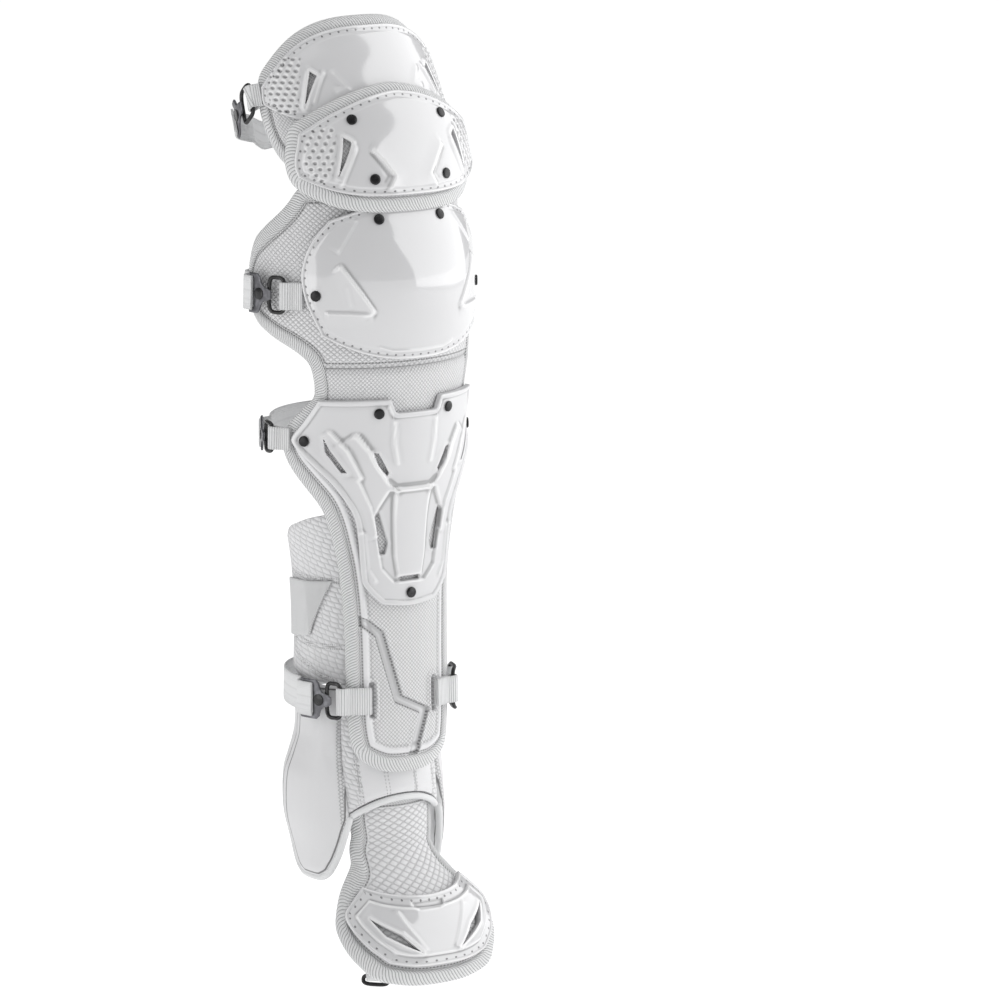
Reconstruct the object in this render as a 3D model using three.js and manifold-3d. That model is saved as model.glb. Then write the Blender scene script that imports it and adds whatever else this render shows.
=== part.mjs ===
// Catcher's leg guard: padded shin, knee and thigh armour with hard caps, worn on the front of one leg.
// Millimetres. +Z runs up the leg, the guard faces -Y, and the origin is inside the knee, on the leg's axis.
import * as THREE from 'three';
import { mergeVertices } from 'three/addons/utils/BufferGeometryUtils.js';
import Module from 'manifold-3d';

const wasm = await Module();
wasm.setup();

// Driving dimensions
const HEIGHT = 690; // lowest edge of the toe to the top of the thigh pad
const WIDTH = 160; // across the padding at the knee
const DEPTH = 158; // twice the padding's reach forward of the leg's axis at the knee
const PAD = 12; // padding thickness
const CAP_PAD = 5; // padding under the upper knee cap
const LINER = 4.5; // soft wrap that lies on the leg
const SHELL = 2.8; // wall of the hard plates
const CLEAR = 1.2; // gap between curved layers that lie over each other
const LAP = 0.7; // gap between the upper knee cap's padding and the thigh plate that it laps over
const TOUCH = 0.4; // gap between two pieces that meet
const BINDING = 9; // width of the ribbed edge binding
const STRAP_WIDTH = 24; // width of the knee and lower calf straps
const NARROW_STRAP = 20; // width of the thigh and upper calf straps
const STRAP = 1.8; // thickness of straps and webbing
const WIRE = 3; // wire diameter of the rings
const HOOK = 2; // thickness of the hook plates
const STUD_RADIUS = 4.2; // round stud on each hook plate
const STUD_HEIGHT = 2.4;
const STUD_SIDES = 10;
const HEAD_TAPER = 0.8; // top radius of studs and rivet heads, as a share of their radius
const TONGUE = 5; // from the ring's bar back to the wide part of a hook
const HOOK_MARGIN = 4; // how much wider a hook is than its strap
const PIPING = 4.6; // diameter of the rolled edge over the ankle
const PIPING_SIDES = 6;
const WIRE_SIDES = 5;
const FLAP = 8; // thickness of the ankle flaps
const INSTEP = 10; // thickness of the padding over the foot
const RIVET_RADIUS = 3.8;
const RIVET_HEIGHT = 1.7;

// Offsets of the layers that stand on the padding's outer surface
const plateFace = CLEAR + SHELL;
const upperPadFloor = plateFace + LAP;
const upperPadTop = upperPadFloor + CAP_PAD;
const upperCapFloor = upperPadTop + CLEAR;
const upperFace = upperCapFloor + SHELL;

const DEG = Math.PI / 180;
const KNEE_SHARE = 0.735;
const KNEE = KNEE_SHARE * HEIGHT;

// The padding's outer surface round the leg.
// Levels are shares of HEIGHT above the toe's lowest edge, half widths shares of WIDTH / 2, and the other
// columns shares of DEPTH / 2. Shift is how far the section's centre lies behind the leg's axis.
const LEG_COLUMNS = ['level', 'side', 'front', 'back', 'shift'];
const LEG_TABLE = [
  [0.060, 0.760, 0.76, 1.05, -0.25],
  [0.120, 0.765, 0.76, 1.06, -0.25],
  [0.180, 0.775, 0.76, 1.09, -0.25],
  [0.210, 0.775, 0.71, 1.07, -0.25],
  [0.250, 0.775, 0.63, 1.05, -0.25],
  [0.300, 0.775, 0.61, 1.03, -0.25],
  [0.380, 0.775, 0.62, 0.97, -0.23],
  [0.440, 0.800, 0.67, 0.89, -0.17],
  [0.500, 0.890, 0.77, 0.82, -0.09],
  [0.555, 0.950, 0.90, 0.78, -0.02],
  [0.585, 0.940, 0.94, 0.78, 0.00],
  [0.615, 0.960, 0.96, 0.78, 0.00],
  [0.650, 1.020, 0.96, 0.78, -0.01],
  [0.680, 1.020, 0.98, 0.79, 0.00],
  [0.720, 1.010, 1.00, 0.80, 0.00],
  [0.760, 1.000, 0.99, 0.80, 0.01],
  [0.810, 0.980, 0.95, 0.79, 0.11],
  [0.850, 0.965, 0.94, 0.78, 0.16],
  [0.875, 0.955, 0.93, 0.77, 0.21],
  [0.905, 0.945, 0.88, 0.76, 0.31],
  [0.930, 0.930, 0.84, 0.75, 0.39],
  [0.955, 0.890, 0.80, 0.74, 0.46],
  [0.980, 0.850, 0.79, 0.72, 0.58],
  [1.020, 0.800, 0.76, 0.70, 0.72],
];

// The top of the foot and toe, below the ankle, in the same columns.
const FOOT_TABLE = [
  [-0.010, 1.000, 0.48, 0.60, -0.93],
  [0.030, 1.000, 0.51, 0.60, -0.88],
  [0.050, 1.000, 0.58, 0.60, -0.76],
  [0.070, 0.975, 0.66, 0.60, -0.63],
  [0.085, 0.925, 0.71, 0.60, -0.52],
  [0.105, 0.800, 0.76, 0.60, -0.39],
  [0.125, 0.680, 0.74, 0.60, -0.25],
  [0.150, 0.580, 0.64, 0.56, -0.14],
];

const scales = { level: HEIGHT, side: WIDTH / 2, front: DEPTH / 2, back: DEPTH / 2, shift: DEPTH / 2 };

// A smooth curve through the rows of a table, read at any level.
function curve(knots, values) {
  const last = knots.length - 1;
  const slope = (i) => {
    const a = Math.max(i - 1, 0);
    const b = Math.min(i + 1, last);
    return (values[b] - values[a]) / (knots[b] - knots[a]);
  };
  return (x) => {
    let i = 0;
    while (i < last - 1 && x > knots[i + 1]) i += 1;
    const span = knots[i + 1] - knots[i];
    const t = THREE.MathUtils.clamp((x - knots[i]) / span, 0, 1);
    const t2 = t * t;
    const t3 = t2 * t;
    return (2 * t3 - 3 * t2 + 1) * values[i] + (t3 - 2 * t2 + t) * span * slope(i)
      + (3 * t2 - 2 * t3) * values[i + 1] + (t3 - t2) * span * slope(i + 1);
  };
}

// A form is a stack of oval sections. Angle 0 is the front, and positive angles turn towards +X.
function makeForm(table) {
  const rows = table.map((row) => row.map((value, i) => value * scales[LEG_COLUMNS[i]]));
  const knots = rows.map((row) => row[0]);
  const [side, front, back, shift] = [1, 2, 3, 4].map((i) => curve(knots, rows.map((row) => row[i])));
  const base = (angle, level) => {
    const reach = Math.cos(angle) > 0 ? front(level) : back(level);
    return new THREE.Vector3(side(level) * Math.sin(angle), shift(level) - reach * Math.cos(angle), level);
  };
  const girth = (level) => (side(level) + front(level)) / 2;
  const wrap = (angle, level, offset) => {
    const along = base(angle + 0.01, level).sub(base(angle - 0.01, level));
    const up = base(angle, level + 1).sub(base(angle, level - 1));
    const out = along.cross(up).normalize();
    return base(angle, level).addScaledVector(out, offset);
  };
  return { base, girth, wrap };
}

// How far the foot's padding lies inside the leg's form at the ankle
const FOOT_DEPTH = PAD + LINER + 2 * CLEAR;
const leg = makeForm(LEG_TABLE);

// Above the ankle the foot's form runs up just inside the ankle sleeve.
const sleeveRows = [0.165, 0.190, 0.215].map((level) => {
  const row = [1, 2, 3, 4].map((i) => curve(LEG_TABLE.map((r) => r[0]), LEG_TABLE.map((r) => r[i]))(level));
  const [side, front, back, shift] = row;
  const inset = [FOOT_DEPTH / scales.side, FOOT_DEPTH / scales.front, FOOT_DEPTH / scales.back];
  return [level, side - inset[0], front - inset[1], back - inset[2], shift];
});
const foot = makeForm([...FOOT_TABLE, ...sleeveRows]);

// Half of the angle that a piece spans at each level: a smooth curve through rows of [level share, degrees].
const spread = (table) => curve(table.map((row) => row[0] * HEIGHT), table.map((row) => row[1] * DEG));

// A patch is a stretch of a form. s runs across it from -1 to 1, and t runs up it from 0 to 1.
function patch(half, low, high) {
  return (s, t) => {
    const bottom = low(s);
    const level = bottom + (high(s) - bottom) * t;
    return [s * half(level), level];
  };
}

// A bow from the middle level to the side level of an edge, flat in the middle for a high power.
const bow = (middle, side, power) => (s) => (middle + (side - middle) * Math.abs(s) ** power) * HEIGHT;

function solidFromQuads(points, quads) {
  const positions = [];
  points.forEach((p) => positions.push(p.x, p.y, p.z));
  const index = [];
  quads.forEach(([a, b, c, d]) => index.push(a, b, c, a, c, d));
  let volume = 0;
  const v = (i) => new THREE.Vector3().fromArray(positions, 3 * i);
  for (let i = 0; i < index.length; i += 3) {
    volume += v(index[i]).dot(v(index[i + 1]).cross(v(index[i + 2])));
  }
  if (volume < 0) {
    for (let i = 0; i < index.length; i += 3) {
      [index[i + 1], index[i + 2]] = [index[i + 2], index[i + 1]];
    }
  }
  const geometry = new THREE.BufferGeometry();
  geometry.setAttribute('position', new THREE.Float32BufferAttribute(positions, 3));
  geometry.setIndex(index);
  return geometry;
}

// Shares from 0 to 1: evenly spaced for a number of rows, or where the given levels lie from first to last.
const shares = (rows) => (Array.isArray(rows)
  ? rows.map((level) => (level - rows[0]) / (rows[rows.length - 1] - rows[0]))
  : Array.from({ length: rows + 1 }, (_, j) => j / rows));

// A curved wall between two offsets from a form. Its rows are a number, or a list of levels.
function wall(form, area, columns, rowLevels, inner, outer) {
  const heights = shares(rowLevels);
  const rows = heights.length - 1;
  const depth = (value, s, t) => (typeof value === 'function' ? value(s, t) : value);
  const points = [];
  [inner, outer].forEach((side) => {
    for (let j = 0; j <= rows; j += 1) {
      for (let i = 0; i <= columns; i += 1) {
        const s = -1 + (2 * i) / columns;
        const t = heights[j];
        const [angle, level] = area(s, t);
        points.push(form.wrap(angle, level, depth(side, s, t)));
      }
    }
  });
  const layer = (columns + 1) * (rows + 1);
  const at = (k, i, j) => k * layer + j * (columns + 1) + i;
  const quads = [];
  for (let j = 0; j < rows; j += 1) {
    for (let i = 0; i < columns; i += 1) {
      quads.push([at(1, i, j), at(1, i + 1, j), at(1, i + 1, j + 1), at(1, i, j + 1)]);
      quads.push([at(0, i, j), at(0, i, j + 1), at(0, i + 1, j + 1), at(0, i + 1, j)]);
    }
  }
  for (let i = 0; i < columns; i += 1) {
    quads.push([at(0, i, 0), at(0, i + 1, 0), at(1, i + 1, 0), at(1, i, 0)]);
    quads.push([at(0, i, rows), at(1, i, rows), at(1, i + 1, rows), at(0, i + 1, rows)]);
  }
  for (let j = 0; j < rows; j += 1) {
    quads.push([at(0, 0, j), at(1, 0, j), at(1, 0, j + 1), at(0, 0, j + 1)]);
    quads.push([at(0, columns, j), at(0, columns, j + 1), at(1, columns, j + 1), at(1, columns, j)]);
  }
  return solidFromQuads(points, quads);
}

// The edge of stacked patches, lowest first: a closed loop of [arc length, level], counter-clockwise from
// outside.
// Each entry of the stack is [area, columns, rows], the same divisions as its wall has.
function border(form, stack) {
  const loop = [];
  const add = (area, s, t) => {
    const [angle, level] = area(s, t);
    loop.push(new THREE.Vector2(angle * form.girth(level), level));
  };
  const [lowest, lowColumns] = stack[0];
  const [highest, highColumns] = stack[stack.length - 1];
  for (let i = 0; i < lowColumns; i += 1) add(lowest, -1 + (2 * i) / lowColumns, 0);
  stack.forEach(([area, , rows]) => {
    shares(rows).slice(0, -1).forEach((t) => add(area, 1, t));
  });
  for (let i = 0; i < highColumns; i += 1) add(highest, 1 - (2 * i) / highColumns, 1);
  [...stack].reverse().forEach(([area, , rows]) => {
    shares(rows).slice(1).reverse().forEach((t) => add(area, -1, t));
  });
  return loop;
}

// The loop moved outwards in the flat by a distance.
function grow(loop, distance) {
  const count = loop.length;
  return loop.map((point, i) => {
    const before = point.clone().sub(loop[(i + count - 1) % count]).normalize();
    const after = loop[(i + 1) % count].clone().sub(point).normalize();
    const mitre = Math.max(0.6, Math.sqrt((1 + before.dot(after)) / 2));
    const along = before.add(after).normalize();
    return point.clone().add(new THREE.Vector2(along.y, -along.x).multiplyScalar(distance / mitre));
  });
}

// A band that follows a loop: each corner is [distance outside the loop, offset from the form].
function edging(form, loop, corners) {
  const points = [];
  corners.forEach(([distance, offset]) => {
    grow(loop, distance).forEach((p) => points.push(form.wrap(p.x / form.girth(p.y), p.y, offset)));
  });
  const count = loop.length;
  const quads = [];
  corners.forEach((corner, k) => {
    const next = (k + 1) % corners.length;
    for (let i = 0; i < count; i += 1) {
      const j = (i + 1) % count;
      quads.push([k * count + i, k * count + j, next * count + j, next * count + i]);
    }
  });
  return solidFromQuads(points, quads);
}

const BINDING_GAP = CLEAR + TOUCH; // from a pad's edge to its binding, along the form

const BINDING_SHOULDER = 0.85; // share of its width where a binding's faces start to round over
const BINDING_DROP = 1; // how far its faces have fallen there

// The section of a binding round a padded edge.
const bindingCorners = (inner, outer) => [
  [BINDING_GAP, inner],
  [BINDING * BINDING_SHOULDER, inner + BINDING_DROP],
  [BINDING, (inner + outer) / 2],
  [BINDING * BINDING_SHOULDER, outer - BINDING_DROP],
  [BINDING_GAP, outer],
];

// A bent strip across the run of a strap. Its two faces are lists of [angle in degrees, offset] of one
// length, and its middle line lies at the level given for each angle.
function strip(levelAt, width, first, second) {
  const points = [];
  [first, second].forEach((face) => {
    [-0.5, 0.5].forEach((share) => {
      face.forEach(([angle, offset]) => {
        points.push(leg.wrap(angle * DEG, levelAt(angle) + share * width, offset));
      });
    });
  });
  const count = first.length;
  const at = (corner, i) => corner * count + i;
  const ring = [0, 1, 3, 2];
  const quads = [];
  for (let i = 0; i < count - 1; i += 1) {
    ring.forEach((corner, k) => {
      const next = ring[(k + 1) % 4];
      quads.push([at(corner, i), at(next, i), at(next, i + 1), at(corner, i + 1)]);
    });
  }
  quads.push(ring.map((corner) => at(corner, 0)).reverse());
  quads.push(ring.map((corner) => at(corner, count - 1)));
  return solidFromQuads(points, quads);
}

// A tube of flat-sided section through points, closed into a loop or with flat ends.
function tube(points, radius, sides, closed) {
  const count = points.length;
  const ring = [];
  points.forEach((point, i) => {
    const before = points[closed ? (i + count - 1) % count : Math.max(i - 1, 0)];
    const after = points[closed ? (i + 1) % count : Math.min(i + 1, count - 1)];
    const along = after.clone().sub(before).normalize();
    const out = new THREE.Vector3(point.x, point.y, 0).normalize();
    const side = along.clone().cross(out).normalize();
    const up = side.clone().cross(along);
    for (let k = 0; k < sides; k += 1) {
      const turn = (2 * Math.PI * k) / sides;
      const [across, high] = [radius * Math.cos(turn), radius * Math.sin(turn)];
      ring.push(point.clone().addScaledVector(side, across).addScaledVector(up, high));
    }
  });
  const quads = [];
  for (let i = 0; i < (closed ? count : count - 1); i += 1) {
    const j = (i + 1) % count;
    for (let k = 0; k < sides; k += 1) {
      const n = (k + 1) % sides;
      quads.push([i * sides + k, i * sides + n, j * sides + n, j * sides + k]);
    }
  }
  const lids = [];
  if (!closed) {
    const end = (count - 1) * sides;
    for (let k = 1; k < sides - 1; k += 1) {
      lids.push([0, k + 1, k, k], [end, end + k, end + k + 1, end + k + 1]);
    }
  }
  return prism(ring, quads, lids);
}

// Frame on the leg at an angle in degrees and a level: x runs round it, y up it and z out of the surface that
// the offset function of angle in radians and level gives.
function frameAt(angle, level, offsetAt) {
  const place = (turn, rise) => {
    const [a, l] = [angle * DEG + turn, level + rise];
    return leg.wrap(a, l, offsetAt(a, l));
  };
  const origin = place(0, 0);
  const round = place(0.01, 0).sub(place(-0.01, 0));
  const z = round.cross(place(0, 1).sub(place(0, -1))).normalize();
  const x = new THREE.Vector3(0, 0, 1).cross(z).normalize();
  const y = z.clone().cross(x);
  return new THREE.Matrix4().makeBasis(x, y, z).setPosition(origin);
}

const toSolid = (geometry) => {
  const bare = geometry.clone();
  bare.deleteAttribute('normal');
  bare.deleteAttribute('uv');
  const merged = mergeVertices(bare, 1e-4);
  return new wasm.Manifold(new wasm.Mesh({
    numProp: 3,
    vertProperties: new Float32Array(merged.attributes.position.array),
    triVerts: new Uint32Array(merged.index.array),
  }));
};

const toGeometry = (solid) => {
  const mesh = solid.getMesh();
  const geometry = new THREE.BufferGeometry();
  geometry.setAttribute('position', new THREE.BufferAttribute(new Float32Array(mesh.vertProperties), 3));
  geometry.setIndex(new THREE.BufferAttribute(new Uint32Array(mesh.triVerts), 1));
  return geometry;
};

const CUT_REACH = 14; // how far a window's cutter stands off the form on both sides

// Cuts windows through a wall. Each window is a ring of [angle in degrees, level share] corners.
function cutWindows(form, geometry, windows) {
  let solid = toSolid(geometry);
  windows.forEach((corners) => {
    const points = [];
    [-CUT_REACH, CUT_REACH + upperFace].forEach((offset) => {
      corners.forEach(([angle, share]) => points.push(form.wrap(angle * DEG, share * HEIGHT, offset)));
    });
    const count = corners.length;
    const quads = [];
    for (let i = 0; i < count; i += 1) {
      const j = (i + 1) % count;
      quads.push([i, j, count + j, count + i]);
    }
    const lids = [];
    for (let i = 1; i < count - 1; i += 1) {
      lids.push([0, i + 1, i, i], [count, count + i, count + i + 1, count + i + 1]);
    }
    solid = solid.subtract(toSolid(prism(points, quads, lids)));
  });
  return toGeometry(solid);
}

function prism(points, quads, lids) {
  const geometry = solidFromQuads(points, quads.concat(lids));
  const index = Array.from(geometry.index.array);
  const kept = [];
  for (let i = 0; i < index.length; i += 3) {
    const [a, b, c] = index.slice(i, i + 3);
    if (a !== b && b !== c && a !== c) kept.push(a, b, c);
  }
  geometry.setIndex(kept);
  return geometry;
}

const mirrored = (windows) => windows.concat(windows.map((ring) => ring.map(([a, l]) => [-a, l]).reverse()));

// Finishes
function finish(color, roughness, metalness = 0) {
  return new THREE.MeshStandardMaterial({ color, roughness, metalness });
}
const materials = {
  gloss: () => finish(0xf4f4f5, 0.12),
  satin: () => finish(0xeeeeef, 0.38),
  mesh: () => finish(0xe9e9ea, 0.9),
  binding: () => finish(0xd9dadb, 0.85),
  webbing: () => finish(0xd0d1d2, 0.8),
  elastic: () => finish(0xe2e2e3, 0.85),
  smooth: () => finish(0xe7e7e8, 0.6),
  metal: () => finish(0x4a4b4e, 0.35, 0.9),
  rivet: () => finish(0x1c1c1e, 0.3, 0.4),
};

const guard = new THREE.Group();
guard.position.z = -KNEE;

function add(name, geometry, material) {
  const mesh = new THREE.Mesh(geometry, materials[material]());
  mesh.name = name;
  guard.add(mesh);
}

// Thigh: an arched pad that leans back, with its binding and plate
const KNEE_TOP = 0.830; // level share where the knee padding ends in the middle
const THIGH_LOW = KNEE_TOP + (2 * BINDING + TOUCH) / HEIGHT; // the thigh pad's binding meets the knee's
const THIGH_SPREAD = [[0.857, 54], [0.875, 66], [0.905, 70], [0.935, 68], [0.990, 64]];
const THIGH_PLATE_SPREAD = [[0.896, 54], [0.903, 63], [0.915, 69], [0.930, 69], [0.990, 69]];
const THIGH_WINDOW = [[-39.5, 0.947], [-36, 0.943], [-45.5, 0.912]];
const THIGH_COLUMNS = 12;
const THIGH_ROWS = 6;
const thighArea = patch(spread(THIGH_SPREAD), bow(THIGH_LOW, THIGH_LOW, 2), bow(0.991, 0.936, 2.7));
const thighPlateArea = patch(spread(THIGH_PLATE_SPREAD), bow(0.896, 0.914, 6), bow(0.990, 0.931, 2.7));

function addThigh() {
  add('thigh_pad', wall(leg, thighArea, THIGH_COLUMNS, THIGH_ROWS, -PAD, 0), 'mesh');
  const outline = border(leg, [[thighArea, THIGH_COLUMNS, THIGH_ROWS]]);
  add('thigh_binding', edging(leg, outline, bindingCorners(-PAD, 0)), 'binding');
  const plate = wall(leg, thighPlateArea, THIGH_COLUMNS, THIGH_ROWS, CLEAR, plateFace);
  add('thigh_plate', cutWindows(leg, plate, mirrored([THIGH_WINDOW])), 'gloss');
}

// Upper knee cap: its own small pad stands in front of the thigh plate's lower edge
const UPPER_SPREAD = [[0.822, 47], [0.835, 50], [0.850, 54], [0.862, 54.5], [0.876, 52.5], [0.890, 50]];
const UPPER_COLUMNS = 12;
const UPPER_ROWS = 5;
const UPPER_WINDOW = [[-31, 0.880], [-27.5, 0.876], [-35, 0.846]];
const upperPadArea = patch(spread(UPPER_SPREAD), bow(0.822, 0.845, 4), bow(0.920, 0.884, 1.6));
const upperCapArea = patch(spread(UPPER_SPREAD), bow(0.827, 0.846, 4), bow(0.9215, 0.885, 1.6));

function addUpperCap() {
  const pad = wall(leg, upperPadArea, UPPER_COLUMNS, UPPER_ROWS, upperPadFloor, upperPadTop);
  add('knee_cap_upper_pad', pad, 'mesh');
  const outline = border(leg, [[upperPadArea, UPPER_COLUMNS, UPPER_ROWS]]);
  add('knee_cap_upper_binding', edging(leg, outline, bindingCorners(upperPadFloor, upperPadTop)), 'binding');
  const plate = wall(leg, upperCapArea, UPPER_COLUMNS, UPPER_ROWS, upperCapFloor, upperFace);
  add('knee_cap_upper', cutWindows(leg, plate, mirrored([UPPER_WINDOW])), 'gloss');
}

// Knee and shin padding share one outline, with wings at the knee and at the top of the shin
const PAD_SPREAD = [
  [0.249, 26], [0.262, 32], [0.285, 35], [0.330, 36.5], [0.380, 37], [0.440, 38.5], [0.4876, 41.7],
  [0.5063, 44.5], [0.5207, 48.5], [0.5397, 57.2], [0.5572, 65.4], [0.572, 70], [0.585, 69], [0.600, 60],
  [0.615, 51], [0.630, 48], [0.656, 48.6], [0.671, 53], [0.684, 63.5], [0.693, 75], [0.706, 89],
  [0.722, 98], [0.745, 100], [0.768, 91], [0.783, 80], [0.7985, 68], [0.812, 60], [0.830, 53],
];
const padHalf = spread(PAD_SPREAD);
const SEAM = 0.655;
const SHIN_ROWS = [0.249, 0.262, 0.285, 0.340, 0.400, 0.460, 0.506, 0.530, 0.553, 0.5625, 0.572, 0.585, 0.600,
  0.615, 0.630, 0.655];
const KNEE_ROWS = [0.655, 0.671, 0.684, 0.695, 0.708, 0.722, 0.745, 0.768, 0.785, 0.803, 0.830];
const SHIN_COLUMNS = 10;
const KNEE_COLUMNS = 14;
const SEAM_GAP = TOUCH / HEIGHT;
const shinPadArea = patch(padHalf, bow(0.249, 0.262, 5), bow(SEAM, SEAM, 2));
const kneePadArea = patch(padHalf, bow(SEAM + SEAM_GAP, SEAM + SEAM_GAP, 2), bow(KNEE_TOP, 0.826, 2));

function addLegPads() {
  add('shin_pad', wall(leg, shinPadArea, SHIN_COLUMNS, SHIN_ROWS, -PAD, 0), 'mesh');
  add('knee_pad', wall(leg, kneePadArea, KNEE_COLUMNS, KNEE_ROWS, -PAD, 0), 'mesh');
  const stack = [[shinPadArea, SHIN_COLUMNS, SHIN_ROWS], [kneePadArea, KNEE_COLUMNS, KNEE_ROWS]];
  const outline = border(leg, stack);
  add('leg_binding', edging(leg, outline, bindingCorners(-PAD, 0)), 'binding');
}

// Main knee cap: a dome over the knee
const CAP_SPREAD = [
  [0.664, 44], [0.690, 48], [0.704, 51.5], [0.724, 56.4], [0.745, 58.8], [0.759, 58], [0.775, 54.3],
  [0.791, 48], [0.803, 42], [0.822, 38],
];
const CAP_LEVELS = [0.664, 0.822];
const DOME = 5; // how far the cap bulges off the knee padding at its middle
const DOME_ANGLE = 60; // degrees from the front to where the bulge ends
const CAP_COLUMNS = 12;
const CAP_ROWS = 8;
const capArea = patch(spread(CAP_SPREAD), bow(CAP_LEVELS[0], 0.690, 2.5), bow(CAP_LEVELS[1], 0.803, 2));

function domeAt(angle, level) {
  const across = Math.max(0, 1 - (angle / (DOME_ANGLE * DEG)) ** 2);
  const up = (level / HEIGHT - CAP_LEVELS[0]) / (CAP_LEVELS[1] - CAP_LEVELS[0]);
  return DOME * across * Math.sin(Math.PI * THREE.MathUtils.clamp(up, 0, 1));
}

function addMainCap() {
  const dome = (s, t) => domeAt(...capArea(s, t));
  const inner = (s, t) => CLEAR + dome(s, t);
  const outer = (s, t) => plateFace + dome(s, t);
  add('knee_cap_main', wall(leg, capArea, CAP_COLUMNS, CAP_ROWS, inner, outer), 'gloss');
}

// Shin plate: a vented shield below the knee, with a notch in its top edge
const PLATE_SPREAD = [
  [0.408, 15], [0.412, 20], [0.427, 29], [0.437, 31.8], [0.480, 32], [0.500, 33], [0.516, 36.7], [0.5385, 45],
  [0.5575, 55.5], [0.573, 65], [0.582, 67], [0.600, 60], [0.624, 51],
];
const PLATE_TOP = 0.6235;
const PLATE_COLUMNS = 12;
const NOTCH = 0.014; // depth of the notch, as a share of HEIGHT
const PLATE_WINDOWS = [
  [[-49.4, 0.5857], [-48.1, 0.570], [-39.6, 0.5495], [-36.6, 0.5496], [-46, 0.573]],
  [[-23, 0.5697], [-20.5, 0.5686], [-14.7, 0.5483], [-15.7, 0.5453], [-21, 0.558]],
  [[-21.8, 0.5032], [-19.6, 0.506], [-14.6, 0.4736], [-16.5, 0.463], [-19.5, 0.463]],
];
const FOOT_WINDOW = [[-7, 0.4345], [-6, 0.4385], [6, 0.4385], [7, 0.4345]];
const NOTCH_SIDE = [0.2, 0.3]; // where the notch's sides lie, as shares of the half width
const plateTop = (s) => {
  const outside = THREE.MathUtils.smoothstep(Math.abs(s), ...NOTCH_SIDE);
  return (PLATE_TOP - NOTCH * (1 - outside)) * HEIGHT;
};
const plateArea = patch(spread(PLATE_SPREAD), bow(0.408, 0.411, 2), plateTop);
const PLATE_ROWS = [0.408, 0.413, 0.427, 0.438, 0.460, 0.506, 0.530, 0.553, 0.5625, 0.572, 0.585, 0.600,
  0.6235];

function addShinPlate() {
  const plate = wall(leg, plateArea, PLATE_COLUMNS, PLATE_ROWS, CLEAR, plateFace);
  add('shin_plate', cutWindows(leg, plate, mirrored(PLATE_WINDOWS).concat([FOOT_WINDOW])), 'satin');
}

// Soft parts that lie on the leg: calf wrap, ankle sleeve with its piping, and the two ankle flaps
const linerOuter = -PAD - CLEAR;
const linerInner = linerOuter - LINER;
const WRAP_ANGLE = 158; // how far round the leg the calf wrap reaches on each side
const WRAP_COLUMNS = 20;
const WRAP_ROWS = 5;
const SLEEVE_COLUMNS = 10;
const SLEEVE_ROWS = 3;
const SLEEVE_GAP = 1.2; // degrees between the ankle sleeve and a flap
const ARCH_STEPS = 12;
const FLAP_COLUMNS = 6;
const FLAP_ROWS = 10;
const FLAP_TOP = 0.325;
const FLAP_FRONT = 53; // angle where the ankle sleeve meets the flaps
const FLAP_BACK = 118; // angle of the flaps' back edges
// Level, and the angles of a flap's front and back edges there
const FLAP_EDGES = [
  [0.121, 80, 101], [0.1276, 71, 108], [0.1315, 69, 110], [0.1425, 63.5, 114], [0.1595, 58, 117],
  [0.174, 54.5, FLAP_BACK], [0.186, FLAP_FRONT, FLAP_BACK], [FLAP_TOP, FLAP_FRONT, FLAP_BACK],
];
// How far a flap stands off towards its back edge, by level: it bulges over the ankle bone
const FLAP_RISE = [[0.121, 0], [0.150, 1], [0.185, 5], [0.225, 5.5], [0.246, 1.5], [0.270, -2.5], [0.325, -2.5]];
const FLAP_RISE_START = 58; // angle where the bulge begins
const FLAP_RISE_SPAN = 45; // degrees over which it grows
const archLevel = (angle) => (0.211 - 0.024 * (angle / (FLAP_FRONT * DEG)) ** 2) * HEIGHT;

// Lower and upper corners of the calf tab
const CALF_TAB = [[[-120, 0.365], [-91.6, 0.372]], [[-118, 0.424], [-55.2, 0.4318]]];
const CALF_TAB_THICKNESS = 1.6;
const CALF_TAB_COLUMNS = 4;
const CALF_TAB_ROWS = 3;

// A woven tab that lies on the calf wrap
function addCalfTab() {
  const area = (s, t) => {
    const between = (first, last, part) => first.map((value, k) => value + (last[k] - value) * part);
    const [low, high] = CALF_TAB.map(([left, right]) => between(left, right, (s + 1) / 2));
    const [degrees, share] = between(low, high, t);
    return [degrees * DEG, share * HEIGHT];
  };
  const inner = linerOuter + CLEAR;
  const tab = wall(leg, area, CALF_TAB_COLUMNS, CALF_TAB_ROWS, inner, inner + CALF_TAB_THICKNESS);
  add('calf_tab', tab, 'webbing');
}

function addLiner() {
  const around = (degrees) => () => degrees * DEG;
  const low = FLAP_TOP + SEAM_GAP;
  const wrapArea = patch(around(WRAP_ANGLE), bow(low, low, 2), bow(0.505, 0.440, 2));
  add('calf_wrap', wall(leg, wrapArea, WRAP_COLUMNS, WRAP_ROWS, linerInner, linerOuter), 'mesh');
  const sleeveHalf = FLAP_FRONT - SLEEVE_GAP;
  const rim = (s) => archLevel(s * sleeveHalf * DEG) + PIPING / 2 + CLEAR;
  const sleeveArea = patch(around(sleeveHalf), rim, () => FLAP_TOP * HEIGHT);
  add('ankle_sleeve', wall(leg, sleeveArea, SLEEVE_COLUMNS, SLEEVE_ROWS, linerInner, linerOuter), 'mesh');
  const arch = [];
  for (let i = 0; i <= ARCH_STEPS; i += 1) {
    const angle = (-1 + (2 * i) / ARCH_STEPS) * (sleeveHalf - 1) * DEG;
    arch.push(leg.wrap(angle, archLevel(angle), (linerInner + linerOuter) / 2));
  }
  add('ankle_piping', tube(arch, PIPING / 2, PIPING_SIDES, false), 'binding');
}

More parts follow.
